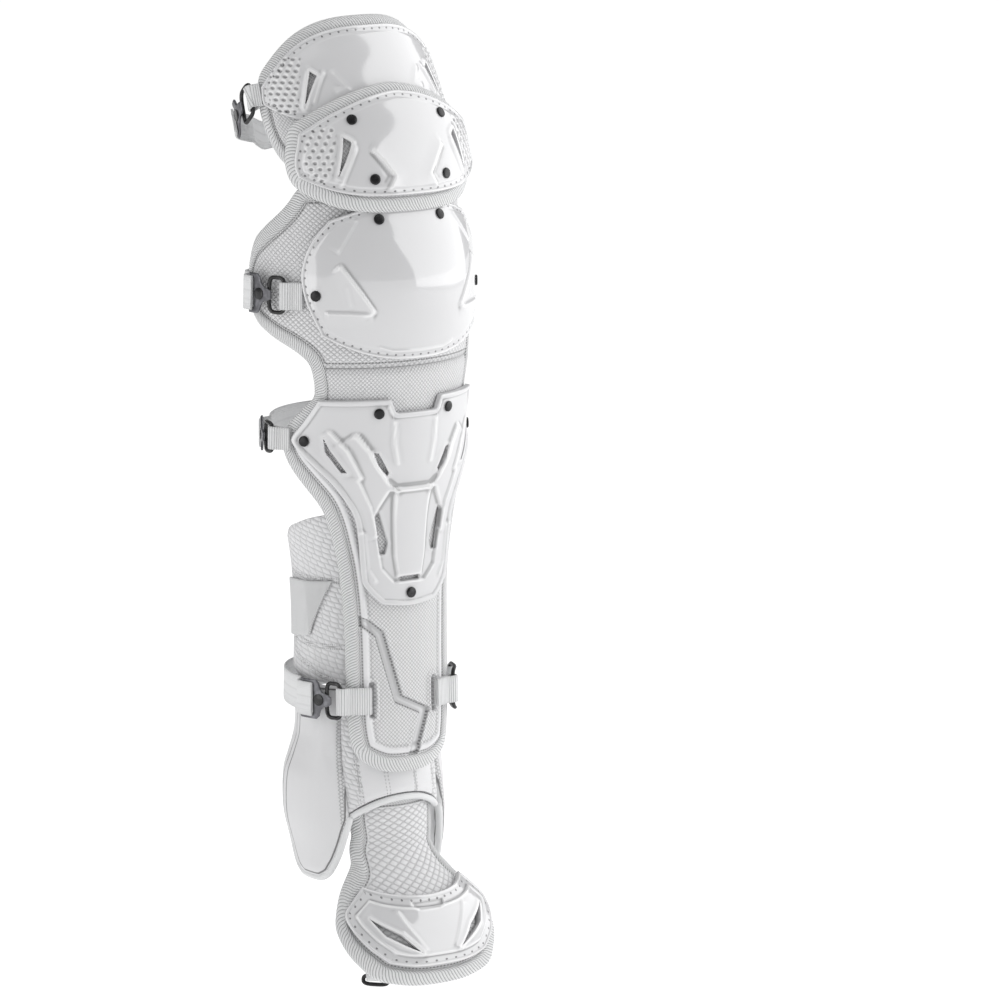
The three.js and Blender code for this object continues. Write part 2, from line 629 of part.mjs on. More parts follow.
function addFlaps() {
  const front = spread(FLAP_EDGES.map((row) => [row[0], row[1]]));
  const back = spread(FLAP_EDGES.map((row) => [row[0], row[2]]));
  const rise = curve(FLAP_RISE.map((row) => row[0] * HEIGHT), FLAP_RISE.map((row) => row[1]));
  [['outer', -1], ['inner', 1]].forEach(([side, sign]) => {
    const area = (s, t) => {
      const level = (FLAP_EDGES[0][0] + (FLAP_TOP - FLAP_EDGES[0][0]) * t ** 1.4) * HEIGHT;
      const [near, far] = [front(level), back(level)];
      return [(sign * (near + far) + s * (far - near)) / 2, level];
    };
    const bulge = (s, t) => {
      const [angle, level] = area(s, t);
      const share = (Math.abs(angle) / DEG - FLAP_RISE_START) / FLAP_RISE_SPAN;
      return linerInner + rise(level) * THREE.MathUtils.smoothstep(share, 0, 1);
    };
    const flap = wall(leg, area, FLAP_COLUMNS, FLAP_ROWS, bulge, (s, t) => bulge(s, t) + FLAP);
    add(`ankle_flap_${side}`, flap, 'smooth');
  });
}

// Instep pad and toe cap hang in front of the foot
const INSTEP_SPREAD = [
  [0.037, 24], [0.045, 32], [0.055, 38], [0.064, 44], [0.0745, 49], [0.089, 53.5], [0.1025, 54],
  [0.118, 48.2], [0.136, 39.4], [0.160, 41.5], [0.1785, 44], [0.205, 44],
];
const INSTEP_COLUMNS = 10;
const INSTEP_ROWS = [0.037, 0.045, 0.058, 0.0745, 0.089, 0.1025, 0.118, 0.136, 0.160, 0.1785, 0.203];
const TOE_SPREAD = [
  [0.0435, 25], [0.055, 33], [0.065, 40], [0.081, 48.4], [0.0946, 53.5], [0.105, 50], [0.118, 43],
];
const TOE_COLUMNS = 10;
const TOE_ROWS = 6;
const TOE_WINDOW = [[-38, 0.0905], [-30, 0.0749], [-11.4, 0.0576], [-21.3, 0.0752]];
const instepArea = patch(spread(INSTEP_SPREAD), bow(0.037, 0.045, 4), bow(0.203, 0.203, 2));
const toeArea = patch(spread(TOE_SPREAD), bow(0.0435, 0.050, 4), bow(0.1095, 0.1185, 2));

function addInstep() {
  add('instep_pad', wall(foot, instepArea, INSTEP_COLUMNS, INSTEP_ROWS, -INSTEP, 0), 'mesh');
  const outline = border(foot, [[instepArea, INSTEP_COLUMNS, INSTEP_ROWS]]);
  add('instep_binding', edging(foot, outline, bindingCorners(-INSTEP, 0)), 'binding');
  const plate = wall(foot, toeArea, TOE_COLUMNS, TOE_ROWS, CLEAR, plateFace);
  add('toe_cap', cutWindows(foot, plate, mirrored([TOE_WINDOW])), 'gloss');
}

// Straps. Knots are pairs of [angle in degrees, value] from the front round the left to the back, read
// linearly.
function readKnots(knots, angle) {
  let i = 0;
  while (i < knots.length - 2 && angle < knots[i + 1][0]) i += 1;
  const [[a, p], [b, q]] = [knots[i], knots[i + 1]];
  return p + (q - p) * THREE.MathUtils.clamp((angle - a) / (b - a), 0, 1);
}

const STRAP_STEP = 12; // widest step in degrees along a strap

// Angles from one to another that include every knot between them.
function stopsAlong(knots, from, to) {
  const inside = knots.map((knot) => knot[0]).filter((angle) => (angle - from) * (angle - to) < 0);
  const corners = [from, ...inside.sort((a, b) => (to > from ? a - b : b - a)), to];
  const stops = [from];
  for (let i = 1; i < corners.length; i += 1) {
    const span = corners[i] - corners[i - 1];
    const count = Math.ceil(Math.abs(span) / STRAP_STEP);
    for (let j = 1; j <= count; j += 1) stops.push(corners[i - 1] + (span * j) / count);
  }
  return stops;
}

// One face of a layer on a lane, at a height over it.
const faceAlong = (lane, from, to, height) => stopsAlong(lane, from, to)
  .map((angle) => [angle, readKnots(lane, angle) + height]);

const FOLD_GAP = 0.6; // between a ring's bar and the strap folded round it
const barCentre = STRAP + FOLD_GAP + WIRE / 2;
const foldTop = barCentre + WIRE / 2 + FOLD_GAP;

// A strip that runs along a lane to a fold, where it holds a ring's bar, and back over itself to its finish.
function foldedStrip(lane, levelAt, width, start, fold, finish, degreesPerMm) {
  const inner = fold + Math.sign(start - fold) * degreesPerMm * STRAP;
  const point = (angle, height) => [angle, readKnots(lane, angle) + height];
  const thirds = [STRAP + (foldTop - STRAP) / 3, foldTop - (foldTop - STRAP) / 3];
  const outside = [
    ...faceAlong(lane, start, inner, 0),
    point(fold, STRAP / 2),
    point(fold, foldTop + STRAP / 2),
    ...faceAlong(lane, inner, finish, foldTop + STRAP),
  ];
  const inside = [
    ...faceAlong(lane, start, inner, STRAP),
    point(inner, thirds[0]),
    point(inner, thirds[1]),
    ...faceAlong(lane, inner, finish, foldTop),
  ];
  return strip(levelAt, width, outside, inside);
}

const RING_POINTS = 12;
const RING_CORNER = 0.45; // 1 makes an oval ring, and smaller values square it

// A wire ring whose two upright bars lie at two angles.
function ringSolid(lane, levelAt, first, second, height) {
  const soft = (value) => Math.sign(value) * Math.abs(value) ** RING_CORNER;
  const points = [];
  for (let i = 0; i < RING_POINTS; i += 1) {
    const turn = (2 * Math.PI * (i + 0.5)) / RING_POINTS;
    const angle = (first + second) / 2 + ((second - first) / 2) * soft(Math.cos(turn));
    const level = levelAt(angle) + (height / 2) * soft(Math.sin(turn));
    points.push(leg.wrap(angle * DEG, level, readKnots(lane, angle) + barCentre));
  }
  return tube(points, WIRE / 2, WIRE_SIDES, true);
}

// A hook: a tongue whose lip drops through the ring beside its bar, a wide plate behind it and a round stud.
function hookSolid(lane, levelAt, plateWidth, bar, tail, degreesPerMm) {
  const toTail = Math.sign(tail - bar) * degreesPerMm;
  const near = bar - toTail * (WIRE / 2 + CLEAR);
  const lip = near - toTail * HOOK;
  const plateStart = bar + toTail * TONGUE;
  const point = (angle, height) => [angle, readKnots(lane, angle) + height];
  const lipDepth = barCentre - WIRE / 2;
  const tongueEnd = plateStart + toTail * HOOK;
  const outside = [
    point(lip, lipDepth),
    point(lip, foldTop + HOOK),
    ...faceAlong(lane, near, tongueEnd, foldTop + HOOK),
  ];
  const inside = [
    point(near, lipDepth),
    point(near, (lipDepth + foldTop) / 2),
    ...faceAlong(lane, near, tongueEnd, foldTop),
  ];
  const tongue = strip(levelAt, 2 * STUD_RADIUS, outside, inside);
  const above = faceAlong(lane, plateStart, tail, foldTop + HOOK);
  const plate = strip(levelAt, plateWidth, above, faceAlong(lane, plateStart, tail, foldTop));
  const middle = bar + toTail * (WIRE / 2 + STUD_RADIUS);
  const face = (angle) => readKnots(lane, angle / DEG) + foldTop + HOOK;
  const rooted = STUD_HEIGHT + HOOK / 2;
  const stud = new THREE.CylinderGeometry(STUD_RADIUS * HEAD_TAPER, STUD_RADIUS, rooted, STUD_SIDES);
  stud.rotateX(Math.PI / 2);
  stud.translate(0, 0, STUD_HEIGHT - rooted / 2);
  stud.applyMatrix4(frameAt(middle, levelAt(middle), face));
  return toGeometry(toSolid(tongue).add(toSolid(plate)).add(toSolid(stud)));
}

// Each strap, on the left: webbing tab from root to fold, hook bar and tail, strap's end round the back, its
// width, the level of its middle line as a share of HEIGHT, and its lane, which is how far its underside lies
// off the form.
const STRAPS = [
  {
    name: 'thigh', root: -71, fold: -80, bar: -86, tail: -96, end: -285, width: NARROW_STRAP,
    levels: [[-60, 0.930], [-75, 0.922], [-88, 0.905], [-105, 0.885], [-140, 0.870], [-220, 0.870],
      [-255, 0.885], [-272, 0.905], [-285, 0.922], [-300, 0.930]],
    lane: [[-60, 0.8], [-80, 0.8], [-84, 0], [-96, -4], [-108, -12], [-130, -14], [-230, -14], [-252, -12],
      [-266, -4], [-277, 0.8], [-300, 0.8]],
  },
  {
    name: 'knee', root: -61, fold: -71, bar: -77, tail: -88, end: -283, width: STRAP_WIDTH,
    levels: [[0, 0.728], [-360, 0.728]],
    lane: [[-50, 0.8], [-107, 0.8], [-114, -4], [-130, -12], [-230, -12], [-246, -4], [-253, 0.8],
      [-300, 0.8]],
  },
  {
    name: 'calf_upper', root: -70, fold: -83, bar: -89, tail: -98.5, end: -277, width: NARROW_STRAP,
    levels: [[0, 0.580], [-360, 0.580]],
    lane: [[-60, 0.8], [-77, 0.8], [-84, -1], [-92, -6], [-101, -12], [-130, -14], [-230, -14],
      [-265, -12], [-274, -7], [-282, 0.8], [-300, 0.8]],
  },
  {
    name: 'calf_lower', root: -30, fold: -53, bar: -60, tail: -85, end: -305, width: STRAP_WIDTH,
    far: { root: -337, fold: -315 }, // tab of its other end, which is hooked too
    levels: [[0, 0.312], [-360, 0.312]],
    lane: [[-25, 0.8], [-45.5, 0.8], [-53, -3], [-62, -6], [-76, -8.2], [-284, -8.2], [-300, -6], [-309, -3],
      [-316, 0.8], [-340, 0.8]],
  },
];
const WEBBING_SHARE = 0.8; // width of the tabs, as a share of the strap's width
const STRAP_RISE = foldTop + HOOK + TOUCH; // how far the strap's end lies over its lane on the hook
const DROP_START = 3; // degrees behind the hook's tail where the strap starts to come down
const DROP_END = 10; // degrees behind the hook's tail where it is down

const FOLD_BACK = 14; // degrees that a strap's far end is folded back over itself

function addStraps() {
  STRAPS.forEach(({ name, root, fold, bar, tail, end, width, levels, lane, far }) => {
    const levelAt = (angle) => readKnots(levels, angle) * HEIGHT;
    const degreesPerMm = 1 / (leg.girth(levelAt(root)) * DEG);
    const grip = degreesPerMm * (STRAP + CLEAR + TOUCH + WIRE / 2);
    const webbing = width * WEBBING_SHARE;
    add(`${name}_tab`, foldedStrip(lane, levelAt, webbing, root, fold, root, degreesPerMm), 'webbing');
    add(`${name}_ring`, ringSolid(lane, levelAt, fold + grip, bar, width + TOUCH), 'metal');
    add(`${name}_hook`, hookSolid(lane, levelAt, width + HOOK_MARGIN, bar, tail, degreesPerMm), 'metal');
    const start = bar - degreesPerMm * (WIRE / 2 + 2 * STUD_RADIUS + CLEAR);
    const down = tail - DROP_END;
    const strapLane = [
      ...faceAlong(lane, start, tail - DROP_START, STRAP_RISE),
      [down, readKnots(lane, down)],
      ...lane.filter((knot) => knot[0] < down),
    ];
    const sewnStrap = () => strip(
      levelAt, width, faceAlong(strapLane, start, end, STRAP), faceAlong(strapLane, start, end, 0));
    const foldedStrap = () => foldedStrip(
      strapLane, levelAt, width, start, end, end + FOLD_BACK, degreesPerMm);
    add(`${name}_strap`, far ? foldedStrap() : sewnStrap(), 'elastic');
    if (far) {
      const farTab = foldedStrip(lane, levelAt, webbing, far.root, far.fold, far.root, degreesPerMm);
      add(`${name}_end_tab`, farTab, 'webbing');
      const farRing = ringSolid(lane, levelAt, far.fold - grip, end + grip, width + 2 * WIRE);
      add(`${name}_end_ring`, farRing, 'metal');
    }
  });
}

// A ribbon through places with the direction of its width at each, and its thickness square to both.
function ribbon(places, width, thickness) {
  const points = [];
  places.forEach(({ at, across }, i) => {
    const along = places[Math.min(i + 1, places.length - 1)].at.clone().sub(places[Math.max(i - 1, 0)].at);
    const out = across.clone().cross(along).normalize();
    [[-0.5, -0.5], [0.5, -0.5], [0.5, 0.5], [-0.5, 0.5]].forEach(([w, h]) => {
      points.push(at.clone().addScaledVector(across, w * width).addScaledVector(out, h * thickness));
    });
  });
  const quads = [[3, 2, 1, 0]];
  for (let i = 0; i < places.length - 1; i += 1) {
    for (let k = 0; k < 4; k += 1) {
      const n = (k + 1) % 4;
      quads.push([4 * i + k, 4 * i + n, 4 * i + 4 + n, 4 * i + 4 + k]);
    }
  }
  const last = 4 * (places.length - 1);
  quads.push([last, last + 1, last + 2, last + 3]);
  return solidFromQuads(points, quads);
}

// Toe strap: it lies on the back of the instep pad at both ends and passes under the foot through two wire
// clips
const TOE_STRAP_ANGLE = 36;
const TOE_STRAP_WIDTH = 13;
const TOE_STRAP_TOP = 0.078;
const TOE_STRAP_EDGE = 0.036; // level where it leaves the padding
const TOE_STRAP_LOW = 0.028; // level of its run under the foot
const TOE_STRAP_BACK = 18; // how far back its run under the foot lies
const TOE_STRAP_INSET = [0.88, 0.5]; // where its corner and its run lie, as shares of its edge's place across
const CLIP_GAP = 0.9;
const CLIP_PLACE = 0.45; // share of the way from the padding's edge to the strap's corner

function addToeStrap() {
  const lie = -INSTEP - 2 * CLEAR - TOUCH - STRAP / 2;
  const places = [];
  [-1, 1].forEach((sign) => {
    const turn = sign * TOE_STRAP_ANGLE * DEG;
    const around = new THREE.Vector3(Math.cos(turn), Math.sin(turn), 0);
    const top = foot.wrap(turn, TOE_STRAP_TOP * HEIGHT, lie);
    const middle = foot.wrap(turn, (TOE_STRAP_TOP + TOE_STRAP_EDGE) * HEIGHT / 2, lie);
    const edge = foot.wrap(turn, TOE_STRAP_EDGE * HEIGHT, lie);
    const [near, far] = TOE_STRAP_INSET;
    const corner = new THREE.Vector3(edge.x * near, edge.y + TOE_STRAP_BACK / 2, TOE_STRAP_LOW * HEIGHT);
    const run = new THREE.Vector3(edge.x * far, edge.y + TOE_STRAP_BACK, TOE_STRAP_LOW * HEIGHT);
    const side = [
      { at: top, across: around },
      { at: middle, across: around },
      { at: edge, across: around },
      { at: corner, across: around.clone().add(new THREE.Vector3(0, sign, 0)).normalize() },
      { at: run, across: new THREE.Vector3(0, sign, 0) },
    ];
    const down = corner.clone().sub(edge).normalize();
    const centre = edge.clone().lerp(corner, CLIP_PLACE);
    const across = around.clone().lerp(side[3].across, CLIP_PLACE).normalize();
    const out = across.clone().cross(down).normalize();
    const reach = [TOE_STRAP_WIDTH / 2 + CLIP_GAP + WIRE / 2, STRAP / 2 + CLIP_GAP + WIRE / 2];
    const clip = [[-1, -1], [0, -1], [1, -1], [1, 1], [0, 1], [-1, 1]].map(([w, h]) => centre.clone()
      .addScaledVector(across, w * reach[0]).addScaledVector(out, h * reach[1]));
    add(sign < 0 ? 'toe_clip_left' : 'toe_clip_right', tube(clip, WIRE / 2, WIRE_SIDES, true), 'metal');
    const turned = side.map((place) => ({ ...place, across: place.across.clone().multiplyScalar(-sign) }));
    places.push(...(sign < 0 ? turned : turned.reverse()));
  });
  add('toe_strap', ribbon(places, TOE_STRAP_WIDTH, STRAP), 'elastic');
}

// Rivets, as [name, angle, level share, the plate's face over the form]
const capFace = (angle, level) => plateFace + domeAt(angle, level);
const RIVETS = [
  ['upper_cap_rivet_top', 25, 0.895, () => upperFace],
  ['upper_cap_rivet_low', 19, 0.8435, () => upperFace],
  ['main_cap_rivet_top', 17.5, 0.803, capFace],
  ['main_cap_rivet_side', 51, 0.730, capFace],
  ['shin_plate_rivet_top', 21, 0.610, () => plateFace],
  ['shin_plate_rivet_side', 59.5, 0.580, () => plateFace],
];
const RIVET_SIDES = 8;

function rivet(angle, share, face) {
  const head = new THREE.CylinderGeometry(RIVET_RADIUS * HEAD_TAPER, RIVET_RADIUS, RIVET_HEIGHT, RIVET_SIDES);
  head.rotateX(Math.PI / 2);
  head.translate(0, 0, TOUCH + RIVET_HEIGHT / 2);
  return head.applyMatrix4(frameAt(angle, share * HEIGHT, face));
}

function addRivets() {
  RIVETS.forEach(([name, angle, share, face]) => {
    [['left', -1], ['right', 1]].forEach(([side, sign]) => {
      add(`${name}_${side}`, rivet(sign * angle, share, face), 'rivet');
    });
  });
  add('shin_plate_rivet_foot', rivet(0, 0.4213, () => plateFace), 'rivet');
}

addThigh();
addUpperCap();
addLegPads();
addMainCap();
addShinPlate();
addLiner();
addCalfTab();
addFlaps();
addInstep();
addStraps();
addToeStrap();
addRivets();

export default guard;
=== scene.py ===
"""Catcher's leg guard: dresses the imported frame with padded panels, moulded plates, edge bindings and straps.

Sizes are in millimetres until a mesh is written, and then in metres.
"""
import math

import bpy
import numpy as np
from bpy.props import FloatProperty, FloatVectorProperty, PointerProperty
from mathutils import Matrix, Vector


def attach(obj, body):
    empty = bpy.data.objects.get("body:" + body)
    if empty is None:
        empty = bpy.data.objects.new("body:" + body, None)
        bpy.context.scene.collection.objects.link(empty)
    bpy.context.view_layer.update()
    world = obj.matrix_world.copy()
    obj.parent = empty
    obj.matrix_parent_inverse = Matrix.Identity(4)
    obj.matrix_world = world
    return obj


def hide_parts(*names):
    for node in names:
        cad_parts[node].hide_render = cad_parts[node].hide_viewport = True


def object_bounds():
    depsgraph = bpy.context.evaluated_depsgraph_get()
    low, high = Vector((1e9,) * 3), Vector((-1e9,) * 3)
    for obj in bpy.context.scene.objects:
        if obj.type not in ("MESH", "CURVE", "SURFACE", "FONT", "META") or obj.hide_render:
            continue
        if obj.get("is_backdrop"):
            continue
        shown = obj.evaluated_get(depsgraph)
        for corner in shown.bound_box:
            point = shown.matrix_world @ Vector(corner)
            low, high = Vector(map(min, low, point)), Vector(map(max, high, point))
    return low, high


bl_info = {
    "name": "Leg Guard",
    "version": (1, 0, 0),
    "blender": (4, 5, 0),
    "location": "3D View > Sidebar > Leg Guard",
    "description": "Models the padding, plates, bindings and straps of a catcher's leg guard",
    "category": "Add Mesh",
}

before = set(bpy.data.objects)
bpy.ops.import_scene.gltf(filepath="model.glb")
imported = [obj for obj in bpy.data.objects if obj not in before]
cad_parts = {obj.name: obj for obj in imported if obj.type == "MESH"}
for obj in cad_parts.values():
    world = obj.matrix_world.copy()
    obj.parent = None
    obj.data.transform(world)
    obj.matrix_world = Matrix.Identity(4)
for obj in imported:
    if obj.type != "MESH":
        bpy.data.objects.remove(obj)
bpy.ops.object.select_all(action="DESELECT")
cad_low, cad_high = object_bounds()

# Forms: stacks of oval sections. Level is a share of the height, and the other columns are shares of half the
# width (side) and of half the depth (front, back and how far the section lies behind the leg's axis).
LEG_ROWS = np.array([
    [0.060, 0.760, 0.76, 1.05, -0.25],
    [0.120, 0.765, 0.76, 1.06, -0.25],
    [0.180, 0.775, 0.76, 1.09, -0.25],
    [0.210, 0.775, 0.71, 1.07, -0.25],
    [0.250, 0.775, 0.63, 1.05, -0.25],
    [0.300, 0.775, 0.61, 1.03, -0.25],
    [0.380, 0.775, 0.62, 0.97, -0.23],
    [0.440, 0.800, 0.67, 0.89, -0.17],
    [0.500, 0.890, 0.77, 0.82, -0.09],
    [0.555, 0.950, 0.90, 0.78, -0.02],
    [0.585, 0.940, 0.94, 0.78, 0.00],
    [0.615, 0.960, 0.96, 0.78, 0.00],
    [0.650, 1.020, 0.96, 0.78, -0.01],
    [0.680, 1.020, 0.98, 0.79, 0.00],
    [0.720, 1.010, 1.00, 0.80, 0.00],
    [0.760, 1.000, 0.99, 0.80, 0.01],
    [0.810, 0.980, 0.95, 0.79, 0.11],
    [0.850, 0.965, 0.94, 0.78, 0.16],
    [0.875, 0.955, 0.93, 0.77, 0.21],
    [0.905, 0.945, 0.88, 0.76, 0.31],
    [0.930, 0.930, 0.84, 0.75, 0.39],
    [0.955, 0.890, 0.80, 0.74, 0.46],
    [0.980, 0.850, 0.79, 0.72, 0.58],
    [1.020, 0.800, 0.76, 0.70, 0.72],
])
FOOT_ROWS = np.array([
    [-0.010, 1.000, 0.48, 0.60, -0.93],
    [0.030, 1.000, 0.51, 0.60, -0.88],
    [0.050, 1.000, 0.58, 0.60, -0.76],
    [0.070, 0.975, 0.66, 0.60, -0.63],
    [0.085, 0.925, 0.71, 0.60, -0.52],
    [0.105, 0.800, 0.76, 0.60, -0.39],
    [0.125, 0.680, 0.74, 0.60, -0.25],
    [0.150, 0.580, 0.64, 0.56, -0.14],
])
HEIGHT = 690.0
KNEE = 0.735 * HEIGHT  # the knee's height over the lowest edge, where the origin is
CROWDING = 0.35  # how far a patch's faces gather at its edges
STITCH_LINE = 3.6  # from a pad's edge to its stitched line
PLAIN_BORDER = (STITCH_LINE, 0.0, HEIGHT)
ROLL = 2.3  # radius of the rolled arch over the foot
SWELL_ROOM, SWELL_CAP = 0.6, 1.6  # what a flap is made thinner by on each face, and how far it may then swell
SWELL_PRESSURE, SWELL_FRAMES, SWELL_CELL = 4.0, 20, 2.2

# The photograph's view: the guard's distance, what one pixel covers there, the camera's turn and height in
# degrees, the level that it faces, and the leg axis's column in a frame of so many pixels
VIEW_DISTANCE, PIXEL_SIZE = 4900.0, 0.707
VIEW_TURN, VIEW_RISE, VIEW_LEVEL = -33.6, 10.3, 345.0
AXIS_COLUMN, FRAME_PIXELS = 354.7, 1001


class GuardSizes(bpy.types.PropertyGroup):
    """Sizes of the padding and of what lies on it, in millimetres"""
    width: FloatProperty(name="Width", description="Across the padding at the knee", default=160.0)
    depth: FloatProperty(name="Depth", description="Twice the padding's reach forward at the knee",
                         default=158.0)
    pad: FloatProperty(name="Padding", description="Thickness of the padding", default=12.0)
    cap_pad: FloatProperty(name="Cap padding", description="Padding under the upper knee cap", default=5.0)
    liner: FloatProperty(name="Liner", description="Thickness of the wrap on the leg", default=4.5)
    shell: FloatProperty(name="Shell", description="Wall of the moulded plates", default=2.8)
    clear: FloatProperty(name="Clearance", description="Gap under the plates", default=1.2)
    lap: FloatProperty(name="Lap", description="Gap under the upper knee cap's padding", default=0.7)
    binding: FloatProperty(name="Binding", description="Width of the edge binding", default=9.0)
    instep: FloatProperty(name="Instep padding", description="Padding over the foot", default=10.0)
    flap: FloatProperty(name="Flap", description="Thickness of the ankle flaps", default=8.0)
    strap: FloatProperty(name="Strap", description="Thickness of straps and webbing", default=1.8)
    rivet: FloatProperty(name="Rivet", description="Radius of a rivet's head", default=3.8)


class GuardColours(bpy.types.PropertyGroup):
    """Colours of the finishes"""
    plate: FloatVectorProperty(
        name="Plates", description="Moulded plates", subtype="COLOR", size=3, default=(0.61, 0.61, 0.62))
    mesh: FloatVectorProperty(
        name="Mesh", description="Mesh over the padding", subtype="COLOR", size=3, default=(0.77, 0.77, 0.78))
    binding: FloatVectorProperty(
        name="Binding", description="Ribbed edges", subtype="COLOR", size=3, default=(0.74, 0.745, 0.75))
    strap: FloatVectorProperty(
        name="Straps", description="Straps and webbing", subtype="COLOR", size=3, default=(0.74, 0.745, 0.75))
    metal: FloatVectorProperty(
        name="Hardware", description="Hooks", subtype="COLOR", size=3, default=(0.13, 0.13, 0.14))


def unit(vectors):
    """Vectors brought to a length of 1."""
    return vectors / (np.linalg.norm(vectors, axis=-1, keepdims=True) + 1e-12)


def run_along(points):
    """How far along its path each point lies."""
    return np.concatenate([[0], np.cumsum(np.linalg.norm(np.diff(points, axis=0), axis=1))])


def boxy(value, power):
    """A value from -1 to 1 pushed outwards, so that a round section comes nearer to a rectangle."""
    return np.sign(value) * np.abs(value) ** power


def hump(x, middle, width):
    """A rounded rise of 1 at a middle."""
    return np.exp(-((x - middle) / width) ** 2)


def curve_through(knots, values):
    """A smooth curve through the rows of a table, read at any level."""
    knots = np.asarray(knots, float)
    values = np.asarray(values, float)
    last = len(knots) - 1
    low = np.maximum(np.arange(last + 1) - 1, 0)
    high = np.minimum(np.arange(last + 1) + 1, last)
    slopes = (values[high] - values[low]) / (knots[high] - knots[low])

    def read(x):
        x = np.asarray(x, float)
        i = np.clip(np.searchsorted(knots, x, side="left") - 1, 0, last - 1)
        span = knots[i + 1] - knots[i]
        t = np.clip((x - knots[i]) / span, 0, 1)
        t2, t3 = t * t, t * t * t
        return ((2 * t3 - 3 * t2 + 1) * values[i] + (t3 - 2 * t2 + t) * span * slopes[i]
                + (3 * t2 - 2 * t3) * values[i + 1] + (t3 - t2) * span * slopes[i + 1])
    return read


def columns_of(rows):
    """A smooth curve for each column of a table of sections after its level."""
    return [curve_through(rows[:, 0], rows[:, column]) for column in range(1, 5)]


class Form:
    """A stack of oval sections round the leg or the foot, in millimetres: the padding's outer surface."""

    def __init__(self, rows, sizes):
        scale = np.array([HEIGHT, sizes.width / 2, sizes.depth / 2, sizes.depth / 2, sizes.depth / 2])
        self.side, self.front, self.back, self.shift = columns_of(rows * scale)

    def base(self, angle, level):
        reach = np.where(np.cos(angle) > 0, self.front(level), self.back(level))
        return np.stack([self.side(level) * np.sin(angle), self.shift(level) - reach * np.cos(angle),
                         level + 0 * angle], -1)

    def girth(self, level):
        return (self.side(level) + self.front(level)) / 2

    def arc(self, angle, level):
        """Length round the form from its front to an angle."""
        turn = angle[:, None] * (np.arange(16) + 0.5) / 16
        reach = np.hypot(self.side(level)[:, None] * np.cos(turn), self.front(level)[:, None] * np.sin(turn))
        return angle * reach.mean(1)

    def normal(self, angle, level):
        along = self.base(angle + 0.01, level) - self.base(angle - 0.01, level)
        up = self.base(angle, level + 1) - self.base(angle, level - 1)
        return unit(np.cross(along, up))

    def flat(self, angle, level):
        """Places laid out flat: arc length and level."""
        return np.stack([angle * self.girth(level), level], -1)

    def wrap(self, angle, level, offset):
        """Points at an angle (radians), a level and an offset from the form, over the guard's lowest edge."""
        angle, level, offset = np.broadcast_arrays(np.asarray(angle, float), level, offset)
        return self.base(angle, level) + self.normal(angle, level) * offset[..., None]


def to_metres(points):
    """Points over the lowest edge, in millimetres, to the frame's metres."""
    return (np.asarray(points) - np.array([0, 0, KNEE])) / 1000


def foot_form(sizes):
    """The top of the foot and toe. Above the ankle it runs up just inside the ankle sleeve."""
    depth = sizes.pad + sizes.liner + 2 * sizes.clear
    less = 2 * depth / np.array([sizes.width, sizes.depth, sizes.depth, np.inf])
    rows = [[level, *(np.array([float(read(level)) for read in columns_of(LEG_ROWS)]) - less)]
            for level in (0.165, 0.190, 0.215)]
    return Form(np.vstack([FOOT_ROWS, rows]), sizes)


def spread(table):
    """Half of the angle that a piece spans at each level, from rows of level share and degrees."""
    knots, degrees = np.array(table).T
    return curve_through(knots * HEIGHT, np.radians(degrees))


def bow(middle, side, power):
    """An edge that runs from its middle level to its side level, as shares of the height."""
    return lambda s: (middle + (side - middle) * np.abs(s) ** power) * HEIGHT


def patch(half, low, high):
    """A stretch of a form: s runs across it from -1 to 1, and t up it from 0 to 1."""
    def area(s, t):
        bottom = low(s)
        level = bottom + (high(s) - bottom) * t
        return s * half(level), level
    return area


def lay(form, corners):
    """Corners given as degrees and level shares, laid out flat: arc length and level in millimetres."""
    corners = np.asarray(corners, float)
    return form.flat(np.radians(corners[:, 0]), corners[:, 1] * HEIGHT)


def mirror(corners):
    """The same corners on the other side of the leg."""
    return [(-angle, level) for angle, level in corners][::-1]


def smooth(x):
    x = np.clip(x, 0, 1)
    return x * x * (3 - 2 * x)


def distance_to(path, points, closed=True):
    """For points in the flat: how far a path is, how far along it its nearest place lies, and its side."""
    start = path if closed else path[:-1]
    end = np.roll(path, -1, 0) if closed else path[1:]
    step = end - start
    length = np.linalg.norm(step, axis=1) + 1e-9
    before = np.concatenate([[0], np.cumsum(length)[:-1]])
    near, along, side = np.empty(len(points)), np.empty(len(points)), np.empty(len(points))
    for first in range(0, len(points), 4000):
        part = slice(first, first + 4000)
        reach = points[part, None] - start[None]
        share = np.clip((reach * step).sum(-1) / length ** 2, 0, 1)
        gap = reach - share[..., None] * step
        far = np.hypot(gap[..., 0], gap[..., 1])
        best = far.argmin(1)
        rows = np.arange(len(best))
        near[part] = far[rows, best]
        along[part] = before[best] + share[rows, best] * length[best]
        nearest = reach[rows, best]
        side[part] = np.sign(step[best, 0] * nearest[:, 1] - step[best, 1] * nearest[:, 0])
    return near, along, side


def inside(corners, points):
    """Whether points in the flat lie inside a polygon."""
    within = np.zeros(len(points), bool)
    for (x0, y0), (x1, y1) in zip(corners, np.roll(corners, -1, 0)):
        crosses = (y0 > points[:, 1]) != (y1 > points[:, 1])
        at = x0 + (points[:, 1] - y0) * (x1 - x0) / (y1 - y0 + 1e-12)
        within ^= crosses & (points[:, 0] < at)
    return within


def raised(flat, corners, height, slope):
    """A raised or sunken panel whose edges slope."""
    near, _, _ = distance_to(corners, flat)
    return height * smooth(np.where(inside(corners, flat), near, -near) / slope + 0.5)


def crest(flat, path, height, left, right, tip=0.7):
    """A ridge along a path, with its own width on each side. It sinks away at both ends."""
    near, along, side = distance_to(path, flat, closed=False)
    fall = (np.hypot(near, tip) - tip) / np.where(side > 0, left, right)
    to_end = np.minimum(along, length_of(path, False) - along)
    return height * np.clip(1 - fall, 0, 1) ** 2 * smooth(to_end / 3.5)


